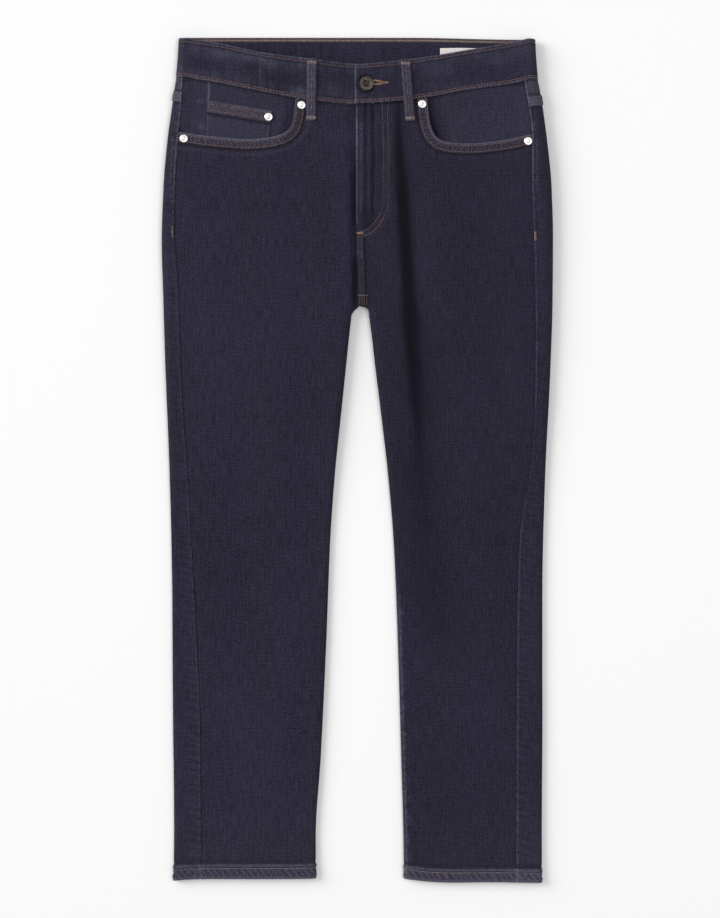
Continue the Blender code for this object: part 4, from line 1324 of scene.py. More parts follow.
def facing_cloth(side):
    """The denim inside a pocket mouth. It rises to the side seam, and sinks where a hand goes in."""
    near = FACING_START[side]
    t, across = np.linspace(0, 1, 26)[:, None], np.linspace(0, 1, 72)[None, :]
    far = side_seam[side](mix(POCKET_FLOOR, 955, t)) - side * (SEAM_GAP / 2 + 0.2)
    x = mix(near, far, across)
    h = mix(POCKET_FLOOR, band_bottom[side](x) - BAND_GAP, t)
    to_seam = np.abs(x - side_seam[side](h))
    raised = (1 - ramp(to_seam, 1, 15)) * ramp(to_mouth(side, x, h), 1.5, 8) * (h > 880)
    to_hollow = np.hypot((x - HOLLOW_X) / 1.2, (h - HOLLOW_H) / 1.6)
    hollow = HOLLOW_DEEP * mound(to_hollow, 12) * (side == LEFT)
    sink = mix(FACING_SINK[side] + hollow, 0.3, raised)
    grid = np.stack([x, h, top(x, h) - sink], -1)
    seam = mound(x - COIN_RIGHT_EDGE, 1.0) if side == RIGHT else 0.0
    sunk = raised * below_band(side, x, h)
    relief = 0.2 * wander_over(x / 22 + 30, h / 30, 101) - 0.3 * seam - sunk
    # Painted shade: darker in the left facing's hollow and where it sinks under the waistband.
    wear = 0.1 + 0.75 * seam - 0.25 * mound(hollow - HOLLOW_DEEP, 1.6) * (side == LEFT) - 0.3 * sunk
    # Painted shadow under the pocket mouth's edge, near its corner.
    corner = mound(to_mouth(side, x, h), 8) * ramp(h, 881, 888)
    painted_shade = 0.9 * (1 - ramp(x, 96, 112)) if side == LEFT else 0.4 * ramp(x, -96, -84)
    wear = wear - corner * painted_shade
    if side == RIGHT:
        wear = wear + spots(FACING_SPOTS, x, h)
    return Cloth(grid, FACING_WALL, relief, (0.3, 0.3, 0.3, 0.3), wear, 0.0, flip=side == RIGHT)


COIN_DEEP = np.concatenate([np.linspace(0, 13.5, 19), np.linspace(14.6, 60, 26)])
COIN_STITCHES = (4, 14)
COIN_WIDE = 70


def coin_cloth():
    """The coin pocket, from its turned upper edge down to the floor of the pocket."""
    across = np.linspace(0, 1, 66)[None, :]
    head = mix(COIN_TOP_RIGHT, COIN_TOP_LEFT, across)
    h = mix(head, POCKET_FLOOR + 2, COIN_DEEP[:, None] / COIN_DEEP[-1])
    t = (h - POCKET_FLOOR - 2) / (head - POCKET_FLOOR - 2)
    x = mix(COIN_RIGHT_EDGE - 3.6 * (1 - t), COIN_LEFT_EDGE - 6.0 * (1 - t), across)
    down = (head - h) + 0 * x
    grid = np.stack([x, h, top(x, h) - COIN_SINK], -1)
    ticks = 0.6 * puckers(x + 0.2 * h, 2.6, 111) + 0.6 * wander_over(x / 1.4, h / 2.6, 113)
    band = 1 - ramp(down, 12.2, 13.4)
    relief = 0.7 * band + 0.26 * ticks * mound(down - 6, 4) - 0.35 * mound(down - 14.4, 1.2)
    relief = relief - grooves(down, COIN_DEEP[list(COIN_STITCHES)])
    # The dark line just under the turned band is painted shadow.
    wear = 0.16 + 0.14 * band + 0.42 * ticks * band + lines(down, (0, 1.1, 0.2), (14.6, 1.4, -0.75))
    wear = wear + lines(across * COIN_WIDE, (COIN_WIDE, 1.2, 0.3), (0, 1.0, 0.22))
    grid, relief, wear, rust = (rows[::-1] for rows in (grid, relief, wear, 0.42 * band))
    return Cloth(grid, COIN_WALL, relief, (0.3, 1, 1, 1), wear, rust)


def back_pocket_cloth(side):
    """A back pocket, flat under the seat, with its pointed foot."""
    across, t = np.linspace(0, 1, 60)[None, :], np.linspace(0, 1, 60)[:, None]
    xs = column(BACK_POCKET, "x")
    x = mix(xs[0], xs[-1], across)
    foot = np.interp(x, xs, column(BACK_POCKET, "bottom"))
    head = np.interp(x, xs, column(BACK_POCKET, "top"))
    taper = mix(1.0, 1.0 - 0.06 * np.abs(2 * across - 1), 1 - t)
    middle = (xs[0] + xs[-1]) / 2
    h = mix(foot, head, t)
    x = side * (middle + (x - middle) * taper)
    grid = np.stack([x, h, 0 * x], -1)
    edge = np.minimum(np.minimum(across, 1 - across) * (xs[-1] - xs[0]), h - foot)
    down = head - h
    relief = lines(edge, (2.0, 0.9, -0.3), (7.0, 0.9, -0.25)) - 0.1
    relief = relief + lines(down, (2.5, 0.9, -0.3), (14.0, 0.9, -0.3))
    wear = 0.02 + 0.3 * mound(edge, 1.5) + 0.4 * mound(down, 1.5)
    rust = 0.2 * mound(edge - 4.5, 3.0) + 0.16 * (down < 14)
    return Cloth(grid, BACK_POCKET_WALL, relief, (1, 1, 1, 1), wear, rust, flip=side == LEFT)


# ---------------------------------------------------------------- fastenings and label

RIVET_PROFILE = (
    ("radius", "height"),
    (4.9, 0.0),
    (4.9, 0.4),
    (4.7, 0.75),
    (4.3, 0.98),
    (3.7, 1.12),
    (3.0, 1.16),
    (2.5, 1.08),
    (2.15, 0.86),
    (1.8, 0.84),
    (1.4, 1.12),
    (1.0, 1.34),
    (0.5, 1.43),
    (0.0, 1.45),
)
BUTTON_PROFILE = (
    ("radius", "height"),
    (2.6, -2.6),
    (2.6, 0.0),
    (7.6, 0.0),
    (8.2, 0.4),
    (8.4, 0.9),
    (8.4, 1.35),
    (8.2, 1.75),
    (7.8, 1.95),
    (7.2, 1.9),
    (6.8, 1.6),
    (6.4, 1.5),
    (5.9, 1.65),
    (5.3, 1.75),
    (4.7, 1.7),
    (4.2, 1.45),
    (3.8, 1.0),
    (3.3, 0.7),
    (2.5, 0.7),
    (1.8, 0.8),
    (0.9, 0.7),
    (0.0, 0.65),
)
BUTTON_HUB, BUTTON_PETALS = 3.9, 4
RIVET_SIDES, BUTTON_SIDES = 40, 72
CREASE_ANGLE = math.radians(38)

# How far each fastening sits from the middle of its solid: across, up the garment, and off it.
SHIFTS = {
    "rivet_mouth_right": (1.6, -0.9, 0.0),
    "rivet_mouth_left": (0.9, -1.3, 0.0),
    "rivet_coin": (2.0, -1.1, 0.0),
    "rivet_side_right": (1.0, -0.6, 0.0),
    "rivet_side_left": (2.4, -1.6, 0.0),
    "button": (1.0, -1.4, 0.0),
}


def turned(name, node, profile, sides, material, petals=0, hub=0.0):
    """A round piece in place of a solid, turned from its profile. petals part its hub like a flower.

    hollow marks where it is sunk and darker: patina in the button's hub, and painted shade in the
    groove round the middle of a rivet.
    """
    low, high = corners_of(node)
    middle = (low + high) / 2 + SHIFTS[node]
    radii, heights = column(profile, "radius"), column(profile, "height")
    seat = low[2] - heights.min()
    angles = np.arange(sides) * 2 * math.pi / sides
    points, hollow = [], []
    for radius, height in zip(radii[:-1], heights[:-1]):
        parted = np.cos(petals * angles) < -0.1
        cut = 0.6 * mound(radius - 2.4, 1.7) * parted if petals else 0 * angles
        # A rivet's groove is darkened as painted shade; the button's hub and petals as patina.
        sunk = 1 - ramp(radius, hub - 0.7, hub + 0.7) if hub else 0.45 * mound(radius - 1.95, 0.5)
        hollow.append(sunk * np.where(parted, 1.0, 0.5 if hub else 1.0) * (height > 0))
        x, h = middle[0] + radius * np.cos(angles), middle[1] + radius * np.sin(angles)
        points.append(np.stack([x, h, seat + height - cut * (height > 0)], -1))
    points = np.concatenate(points + [[[middle[0], middle[1], seat + heights[-1]]]])
    faces = [list(range(sides))[::-1]]
    for ring_start in range(0, (len(radii) - 2) * sides, sides):
        for k in range(sides):
            a, b = ring_start + k, ring_start + (k + 1) % sides
            faces.append([a, b, b + sides, a + sides])
    last = (len(radii) - 2) * sides
    faces += [[last + k, last + (k + 1) % sides, len(points) - 1] for k in range(sides)]
    piece = mesh_object(name, points, faces, material)
    marks = piece.data.attributes.new("hollow", "FLOAT", "POINT")
    marks.data.foreach_set("value", np.concatenate(hollow + [[float(hub > 0)]]))
    piece.data.set_sharp_from_angle(angle=CREASE_ANGLE)
    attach(piece, "root")
    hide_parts(node)
    return piece


LABEL_SHIFT, LABEL_WALL = 1.6, 0.5


def label_cloth():
    """The blank label, bowed a little off the inside of the back of the waistband."""
    low, high = corners_of("waist_label")
    x, h = plate(low, high, 30, 44)
    x = x + LABEL_SHIFT
    base = under(x, h) + BAND_WALL + SEAM_GAP + LABEL_WALL
    bow = 0.5 * mound((x - (low[0] + high[0]) / 2) / 18, 1) + 0.25 * wander_over(x / 9, h / 14, 121)
    return Cloth(np.stack([x, h, base], -1), LABEL_WALL, bow + 0.3, (1, 1, 1, 1))


ZIP_X, ZIP_LOW, ZIP_HIGH, ZIP_HALF = 14.5, 782.0, 921.0, 13.0
ZIP_SINK = UNDERLAP_DIP + CLOTH + LAYER_GAP
TAPE_WALL = 0.8


def zip_tape_cloth():
    """The two tapes of the zip, as one strip with a groove between them."""
    x, h = plate((ZIP_X - ZIP_HALF, ZIP_LOW), (ZIP_X + ZIP_HALF, ZIP_HIGH), 70, 22)
    groove = -0.3 * mound(x - ZIP_X, 0.8)
    return Cloth(np.stack([x, h, top(x, h) - ZIP_SINK], -1), TAPE_WALL, groove, (0.5,) * 4)


# ---------------------------------------------------------------- nodes and stitches


class Wire:
    """A socket in a tree of nodes, for sums written as Python."""

    def __init__(self, tree, socket):
        self.tree, self.socket = tree, socket

    def joined(self, operation, *terms):
        node = self.tree.nodes.new("ShaderNodeMath")
        node.operation = operation
        for slot, term in zip(node.inputs, terms):
            if isinstance(term, Wire):
                self.tree.links.new(term.socket, slot)
            else:
                slot.default_value = term
        return Wire(self.tree, node.outputs[0])

    def __add__(self, other):
        return self.joined("ADD", self, other)

    def __sub__(self, other):
        return self.joined("SUBTRACT", self, other)

    def __rsub__(self, other):
        return self.joined("SUBTRACT", other, self)

    def __mul__(self, other):
        return self.joined("MULTIPLY", self, other)

    __radd__, __rmul__ = __add__, __mul__


class Nodes:
    """A tree of nodes being made."""

    def __init__(self, tree):
        self.tree = tree

    def node(self, kind, settings=None, values=None, output=0):
        """Any node: its settings, then the values or links of its sockets, by name or place."""
        node = self.tree.nodes.new(kind)
        for key, value in (settings or {}).items():
            setattr(node, key, value)
        for key, value in (values or {}).items():
            self.set(node.inputs[key], value)
        return Wire(self.tree, node.outputs[output])

    def set(self, socket, value):
        if isinstance(value, Wire):
            self.tree.links.new(value.socket, socket)
        else:
            socket.default_value = value


STITCH_INPUTS = (
    ("Pitch", "NodeSocketFloat"),
    ("Length", "NodeSocketFloat"),
    ("Width", "NodeSocketFloat"),
    ("Height", "NodeSocketFloat"),
    ("Turn", "NodeSocketFloat"),
    ("Unevenness", "NodeSocketFloat"),
    ("Seed", "NodeSocketInt"),
    ("Thread", "NodeSocketMaterial"),
)


def stitching_tree():
    """Lays a small bead of thread at each pitch along the edges of a mesh, standing off the cloth."""
    tree = bpy.data.node_groups.new("stitching", "GeometryNodeTree")
    tree.interface.new_socket("Rows", in_out="INPUT", socket_type="NodeSocketGeometry")
    for name, kind in STITCH_INPUTS:
        tree.interface.new_socket(name, in_out="INPUT", socket_type=kind)
    tree.interface.new_socket("Stitches", in_out="OUTPUT", socket_type="NodeSocketGeometry")
    node = Nodes(tree).node
    given = {out.name: Wire(tree, out) for out in tree.nodes.new("NodeGroupInput").outputs}
    curve = node("GeometryNodeMeshToCurve", {}, {"Mesh": given["Rows"]})
    spaced = {"Curve": curve, "Length": given["Pitch"]}
    rows = node("GeometryNodeResampleCurve", {"mode": "LENGTH"}, spaced)
    named = {"data_type": "FLOAT_VECTOR"}
    off_cloth = node("GeometryNodeInputNamedAttribute", named, {"Name": "off_cloth"})
    axes = {"primary_axis": "Z", "secondary_axis": "X"}
    ways = {"Primary Axis": off_cloth, "Secondary Axis": node("GeometryNodeInputTangent")}
    facing = node("FunctionNodeAxesToRotation", axes, ways)
    spread = {"Seed": given["Seed"], 2: given["Unevenness"] * -1.0, 3: given["Unevenness"]}
    sway = node("FunctionNodeRandomValue", {"data_type": "FLOAT"}, spread, output=1)
    turn = {"Axis": (0.0, 0.0, 1.0), "Angle": given["Turn"] + sway}
    turns = {"Rotation": facing, "Rotate By": node("FunctionNodeAxisAngleToRotation", {}, turn)}
    way = node("FunctionNodeRotateRotation", {"rotation_space": "LOCAL"}, turns)
    bead = node("GeometryNodeMeshUVSphere", {}, {"Segments": 5, "Rings": 4, "Radius": 0.5})
    lying = node("GeometryNodeTransform", {}, {"Geometry": bead, "Rotation": (0, math.pi / 2, 0)})
    sizes = {"X": given["Length"], "Y": given["Width"], "Z": given["Height"]}
    size = node("ShaderNodeCombineXYZ", {}, sizes)
    places = {"Points": rows, "Instance": lying, "Rotation": way, "Scale": size}
    placed = node("GeometryNodeInstanceOnPoints", {}, places)
    real = node("GeometryNodeRealizeInstances", {}, {"Geometry": placed})
    smooth = node("GeometryNodeSetShadeSmooth", {}, {"Geometry": real})
    dyed = node("GeometryNodeSetMaterial", {}, {"Geometry": smooth, "Material": given["Thread"]})
    tree.links.new(dyed.socket, tree.nodes.new("NodeGroupOutput").inputs[0])
    return tree


STITCHING = stitching_tree()


def stitches(name, rows, thread, seed, turn=0.0, unevenness=0.06, **sizes):
    """One piece of stitches. A row is its places and the ways off the cloth there."""
    sizes = {**STITCH, **sizes}
    starts = np.cumsum([0] + [len(places) for places, ways in rows])
    edges = [
        (start + k, start + k + 1)
        for start, (places, ways) in zip(starts, rows)
        for k in range(len(places) - 1)
    ]
    mesh = bpy.data.meshes.new(name)
    mesh.from_pydata(in_metres(np.concatenate([places for places, ways in rows])).tolist(), edges, [])
    ways = np.concatenate([ways for places, ways in rows]).astype(np.float32)
    mesh.attributes.new("off_cloth", "FLOAT_VECTOR", "POINT").data.foreach_set("vector", ways.ravel())
    piece = bpy.data.objects.new(name, mesh)
    bpy.context.scene.collection.objects.link(piece)
    sewing = piece.modifiers.new("stitching", "NODES")
    sewing.node_group = STITCHING
    values = {name.capitalize(): size * MM for name, size in sizes.items()}
    values.update({"Turn": turn, "Unevenness": unevenness, "Seed": seed, "Thread": thread})
    for item in STITCHING.interface.items_tree:
        if item.name in values:
            sewing[item.identifier] = values[item.name]
    graph = bpy.context.evaluated_depsgraph_get()
    sewn = bpy.data.meshes.new_from_object(piece.evaluated_get(graph))
    piece.modifiers.clear()
    piece.data = sewn
    bpy.data.meshes.remove(mesh)
    sewn.name = name
    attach(piece, "root")
    return piece


def row_at(x, h, z, way=1.0):
    """A row through the places, on cloth that faces up, or down where way is -1."""
    return np.stack([x, h, z], -1), np.tile((0.0, 0.0, way), (len(x), 1))


def on_front(x, h, lift):
    """A row on the left front, through places (x, h)."""
    height = h - hem_line(x, h)
    relief = front_finish(LEFT, x[None, :], h[None, :], height[None, :])[0]
    return row_at(x, h, front_face(LEFT, x, h) + relief[0] + lift)


# ---------------------------------------------------------------- materials


class Finish(Nodes):
    """A material being made: its nodes, and the sockets of its one shader."""

    def __init__(self, name):
        self.material = bpy.data.materials.new(name)
        self.material.use_nodes = True
        super().__init__(self.material.node_tree)
        self.shader = self.tree.nodes["Principled BSDF"]

    def noise(self, place, scale, stretch=(1, 1, 1), detail=2.0, roughness=0.5):
        """Soft uneven spots, from 0 to 1, stretched along an axis where its number is small."""
        laid = self.node("ShaderNodeMapping", {}, {"Vector": place, "Scale": stretch})
        values = {"Vector": laid, "Scale": scale, "Detail": detail, "Roughness": roughness}
        return self.node("ShaderNodeTexNoise", {"noise_dimensions": "3D"}, values)

    def object_place(self):
        """Where each place is on the whole garment."""
        return self.node("ShaderNodeTexCoord", {}, output=3)

    def marked(self, name):
        """How much of a mark the mesh carries at each place."""
        return self.node("ShaderNodeAttribute", {"attribute_name": name}, output=2)

    def grain(self, height, strength, distance):
        """Fine relief, its distance in metres."""
        values = {"Strength": strength, "Distance": distance, "Height": height}
        return self.node("ShaderNodeBump", {}, values)

    def clip(self, value):
        """The value, kept between 0 and 1."""
        return self.node("ShaderNodeClamp", {}, {"Value": value})

    def hatch(self, place, way):
        """Single yarns showing, one way of the cloth."""
        values = {"Vector": place, "Scale": HATCH_SCALE, "Distortion": 3.0, "Detail": 1.5}
        values["Detail Scale"] = 60.0
        return self.node("ShaderNodeTexWave", {"bands_direction": way}, values)

    def twill(self, place):
        """The fine slanting ribs of twill, from 0 to 1."""
        values = {"Vector": place, "Scale": TWILL_SCALE, "Distortion": 0.6, "Detail": 1.0}
        return self.node("ShaderNodeTexWave", {"bands_direction": "DIAGONAL"}, values)

    def blend(self, first, second, share):
        """From the first colour to the second."""
        values = {0: share, 6: first, 7: second}
        return self.node("ShaderNodeMix", {"data_type": "RGBA"}, values, output=2)

    def shade(self, **values):
        """Sets the shader's sockets, given by name with _ for a space."""
        for key, value in values.items():
            self.set(self.shader.inputs[key.replace("_", " ")], value)
        return self.material


TWILL_SCALE, HATCH_SCALE = 620.0, 136.0
INDIGO = (0.0036, 0.0032, 0.0081, 1.0)
INDIGO_LIGHT = (0.0280, 0.0254, 0.0484, 1.0)
RUBBED = (0.105, 0.104, 0.150, 1.0)
RUST = (0.094, 0.062, 0.060, 1.0)
SATIN_DARK, SATIN_LIGHT = (0.55, 0.49, 0.48, 1.0), (0.74, 0.69, 0.68, 1.0)
TAPE_DARK, TAPE_LIGHT = (0.012, 0.012, 0.018, 1.0), (0.035, 0.034, 0.045, 1.0)
PAPER = (0.81, 0.81, 0.812, 1.0)

# Each metal: its bright and dull colours, its roughness, how grimy it is and how metallic.
METALS = {
    "nickel": ((0.86, 0.84, 0.80, 1), (0.62, 0.60, 0.57, 1), 0.42, 0.9, 1.0),
    "antique_brass": ((0.088, 0.066, 0.056, 1), (0.014, 0.011, 0.010, 1), 0.5, 3.6, 0.6),
    "zip_brass": ((0.3, 0.22, 0.12, 1), (0.1, 0.075, 0.05, 1), 0.35, 1.6, 1.0),
}


def denim(name):
    """Dark indigo twill: slubby up the cloth, finely crossed, rubbed light, with painted shade."""
    finish = Finish(name)
    cut = finish.node("ShaderNodeUVMap", {"uv_map": "cut"})
    wear_and_shade_mark, brown = finish.marked("wear"), finish.marked("rust")
    slubs = finish.noise(cut, 1.0, (470, 48, 1), 3.0, 0.6)
    yarns = finish.noise(cut, 1.0, (1250, 160, 1), 2.0, 0.6)
    crossing = finish.noise(cut, 1.0, (90, 520, 1), 2.0, 0.6)
    speckle = finish.noise(cut, 700.0, (1, 0.75, 1), 2.0, 0.75)
    faded = finish.noise(cut, 7.0, (1, 0.55, 1), 2.0, 0.5)
    hatch = finish.hatch(cut, "X") + finish.hatch(cut, "Y")
    mottle = slubs * 0.95 + crossing * 0.5 + speckle * 2.0 + faded * 0.42 + hatch * 0.26 - 1.69
    # Below 0 the mark is painted shade, darkening the indigo towards its deepest tone.
    painted_shade = finish.clip(wear_and_shade_mark * -1.0)
    shown = finish.clip(mottle * (0.55 + 0.9 * mottle)) * (1.0 - painted_shade * 0.92)
    cloth_colour = finish.blend(INDIGO, INDIGO_LIGHT, shown)
    threads = finish.clip(yarns * 2.2 + speckle * 2.2 - 1.7)
    colour = finish.blend(cloth_colour, RUBBED, finish.clip(wear_and_shade_mark * (0.3 + threads * 0.9)))
    colour = finish.blend(colour, RUST, finish.clip(brown * (threads * 1.1 - 0.1)))
    twill = finish.twill(cut)
    weave = twill * 0.5 + slubs * 0.8 + yarns * 0.5 + crossing * 0.4
    grain = finish.grain(weave, 0.55, 0.00022)
    return finish.shade(
        Base_Color=colour,
        Roughness=0.86 + (yarns - 0.5) * 0.12,
        Normal=grain,
        Sheen_Weight=0.04,
        Sheen_Roughness=0.6,
        Specular_IOR_Level=0.1,
    )


def thread(name, dark, light):
    """Glossy spun thread, a little uneven in colour."""
    finish = Finish(name)
    place = finish.object_place()
    tone = finish.noise(place, 420.0, (1, 1, 1), 2.0, 0.6)
    strands = finish.noise(place, 2600.0, (1, 1, 1), 1.0, 0.5)
    grain = finish.grain(strands, 0.4, 0.0001)
    colour = finish.blend(dark, light, finish.clip(tone * 2.8 - 0.95))
    return finish.shade(
        Base_Color=colour,
        Roughness=0.55 + tone * 0.1,
        Normal=grain,
        Sheen_Weight=0.2,
        Sheen_Roughness=0.4,
    )


def metal(name):
    """Plated metal, darker in its hollows and finely brushed."""
    colour, dull, roughness, grime, metallic = METALS[name]
    finish = Finish(name)
    place = finish.object_place()
    spots = finish.noise(place, 380.0, (1, 1, 1), 3.0, 0.65)
    brushed = finish.noise(place, 1.0, (2400, 900, 900), 2.0, 0.5)
    hollow = finish.marked("hollow")
    # Hollows are darker: patina on the button, painted shade in the groove of a rivet.
    grime_and_painted_shade = finish.clip((spots - 0.42) * grime + hollow)
    grain = finish.grain(brushed, 0.25, 0.00008)
    return finish.shade(
        Base_Color=finish.blend(colour, dull, grime_and_painted_shade),
        Roughness=finish.clip(roughness + (spots - 0.5) * 0.25 + brushed * 0.06),
        Metallic=metallic,
        Normal=grain,
    )


def satin(name):
    """Off-white woven satin."""
    finish = Finish(name)
    place = finish.object_place()
    weft = finish.noise(place, 1.0, (160, 3200, 400), 2.0, 0.5)
    warp = finish.noise(place, 1.0, (2800, 140, 400), 2.0, 0.5)
    grain = finish.grain(weft + warp, 0.5, 0.0001)
    colour = finish.blend(SATIN_DARK, SATIN_LIGHT, finish.clip(weft + warp * 0.5 - 0.3))
    return finish.shade(Base_Color=colour, Roughness=0.5 + warp * 0.1, Normal=grain, Sheen_Weight=0.3)


def tape(name):
    """The dark herringbone of a zip's tape."""
    finish = Finish(name)
    place = finish.object_place()
    ribs = finish.noise(place, 1.0, (1600, 260, 400), 2.0, 0.5)
    grain = finish.grain(ribs, 0.6, 0.0002)
    colour = finish.blend(TAPE_DARK, TAPE_LIGHT, finish.clip(ribs * 1.6 - 0.3))
    return finish.shade(Base_Color=colour, Roughness=0.85 + ribs * 0.05, Normal=grain)


# ---------------------------------------------------------------- the jeans


def make_cloth():
    """Every piece of cloth, by name, as its walls."""
    walls = {}
    for side in SIDES:
        name = SIDE_NAMES[side]
        walls[f"front_{name}"] = [front_cloth(side), mouth_edge(side)]
        walls[f"back_{name}"] = [back_cloth(side)]
        walls[f"yoke_{name}"] = [yoke_cloth(side)]
        walls[f"pocket_facing_{name}"] = [facing_cloth(side)]
        walls[f"back_pocket_{name}"] = [back_pocket_cloth(side)]
    walls["waistband"] = [band_cloth()]
    walls["coin_pocket"] = [coin_cloth()]
    for spec in rows_of(FRONT_LOOPS):
        walls[f"belt_loop_front_{spec['name']}"] = [front_loop(spec)]
    for k, node in enumerate(BACK_LOOPS):
        walls[node] = [back_loop(node, 131 + k)]
    return walls


# The threads, each with its darker and its lighter colour.
THREADS = {
    "copper": ((0.036, 0.017, 0.019, 1), (0.250, 0.143, 0.138, 1)),
    "pink": ((0.090, 0.060, 0.062, 1), (0.270, 0.190, 0.188, 1)),
    "brown": ((0.022, 0.010, 0.013, 1), (0.066, 0.034, 0.036, 1)),
    "faded": ((0.038, 0.030, 0.040, 1), (0.134, 0.102, 0.120, 1)),
    "orange": ((0.15, 0.074, 0.044, 1), (0.34, 0.19, 0.12, 1)),
    "tan": ((0.085, 0.058, 0.058, 1), (0.290, 0.215, 0.208, 1)),
    "cream": ((0.175, 0.116, 0.082, 1), (0.44, 0.312, 0.228, 1)),
}


CHAIN_ENDS = (-201.0, 190.0)


def inside_band(down):
    """A row along the inside of the back of the waistband, below its upper edge."""
    x = np.linspace(*CHAIN_ENDS, 200)
    h = back_top(x) - down
    return row_at(x, h, under(x, h) + BAND_WALL + 0.15)


def beside_seam(side, off, low, high):
    """A row along the side seam, on the back."""
    h = np.linspace(low, high, 60)
    x = side_seam[side](h) + side * off
    return row_at(x, h, top(x, h) + 0.7 * mound(off, 3.2) + 0.2)


def seat_row(off, low, high):
    """A row up the seat seam, on the wearer's left of it."""
    h = np.linspace(low, high, 60)
    x = front_seam(h) + off
    return row_at(x, h, under(x, h) - 1.1, -1.0)


def nearest(values, value):
    return int(np.argmin(np.abs(values - value)))


def front_rows(walls, side):
    """The copper rows of one side: pocket mouth and yoke."""
    name = SIDE_NAMES[side]
    mouth, yoke = walls[f"front_{name}"][1], walls[f"yoke_{name}"][0]
    rows = [mouth.line(row=nearest(MOUTH_ACROSS, at)) for at in MOUTH_ROWS]
    return rows + [yoke.line(row=row) for row in FELL_ROWS]


def hem_rows(walls):
    """The row of stitches round each hem."""
    rows = []
    for side in SIDES:
        row = nearest(PANEL_ROWS, HEM_STITCH[side])
        rows.append(walls[f"front_{SIDE_NAMES[side]}"][0].line(row=row, lift=0.2))
        rows.append(walls[f"back_{SIDE_NAMES[side]}"][0].line(row=row, lift=-0.15))
    return rows


def pocket_rows(pocket):
    """Two rows round a back pocket, and two across its hem."""
    rows = [pocket.line(column=place) for place in (1, 3, -2, -4)]
    return rows + [pocket.line(row=place) for place in (1, 3, -2, -7)]


def hole_rows(start, end, first, last):
    """The upper and lower rows of thread along part of the buttonhole."""
    x = np.linspace(start, end, 12)
    rows = []
    for way in (1, -1):
        h = HOLE_H + way * np.linspace(first, last, 12)
        rows.append(row_at(x, h, top(x, h) + BAND_PROUD + BAND_RISE + 0.1))
    return rows


def fly_rows(part):
    """Both rows of the fly's J, along part of it."""
    return [on_front(path[part, 0], path[part, 1], 0.35) for path in (FLY_OUTER, FLY_INNER)]


def copper_rows(walls):
    """The rows of the brightest thread."""
    band, coin = walls["waistband"][0], walls["coin_pocket"][0]
    rows = front_rows(walls, RIGHT) + front_rows(walls, LEFT)
    rows += [band.line(row=row) for row in BAND_ROWS.values()]
    rows += [coin.line(row=len(COIN_DEEP) - 1 - row) for row in COIN_STITCHES]
    for side in SIDES:
        rows += pocket_rows(walls[f"back_pocket_{SIDE_NAMES[side]}"][0])
    rows += [seat_row(off, *run) for run in ((702, 886), (902, 958)) for off in (1.8, 7.2)]
    return rows + fly_rows(np.s_[FLY_TURN:])


def faded_rows():
    """The rows that have almost the colour of the cloth: the fly's upper part and the hips."""
    rows = fly_rows(np.s_[: FLY_MIDDLE + 1])
    rows += [beside_seam(side, 1.2, 836, 955) for side in SIDES]
    return rows + [beside_seam(side, 5.6, 836, 884) for side in SIDES]


def dark_rows(walls, loops):
    """The rows of dark thread: the loops, the felled seam, the fly's side and the waistband's end."""
    rows = [loop.line(column=place) for loop in loops for place in LOOP_STITCHES]
    h = np.linspace(702, 766, 40)
    rows += [on_front(front_seam(h) + off, h, 0.25) for off in (1.8, 6.6)]
    rows += fly_rows(np.s_[FLY_MIDDLE : FLY_TURN + 1])
    return rows + [walls["waistband"][0].line(column=END_COLUMN)]


def loop_tack_rows(walls, loops):
    """The bar tacks at both ends of each loop, and at the corners of the back pockets."""
    rows = [loop.line(row=row, lift=0.3) for loop in loops for row in (2, -4)]
    for side in SIDES:
        pocket = walls[f"back_pocket_{SIDE_NAMES[side]}"][0]
        rows += [pocket.line(column=place, part=(0.91, 0.985)) for place in (2, -3)]
    return rows


def crotch_rows():
    """The short upright rows below the crotch's bar tack."""
    down = np.linspace(687, 697, 8)
    return [on_front(at + 0 * down, down, 0.3) for at in (2.8, 5.6, 8.4, 11.2)]


def bar_across(start, end, h, count, lift):
    """The run of a bar tack across the left front."""
    x = np.linspace(start, end, count)
    return on_front(x, h + 0 * x, lift)


FLY_MIDDLE, FLY_TURN = 56, 96
TACK = {"pitch": 0.5, "width": 0.5, "height": 0.5, "turn": math.pi / 2}
CHAIN = {"pitch": 2.1, "length": 2.6, "width": 0.85, "height": 0.7}


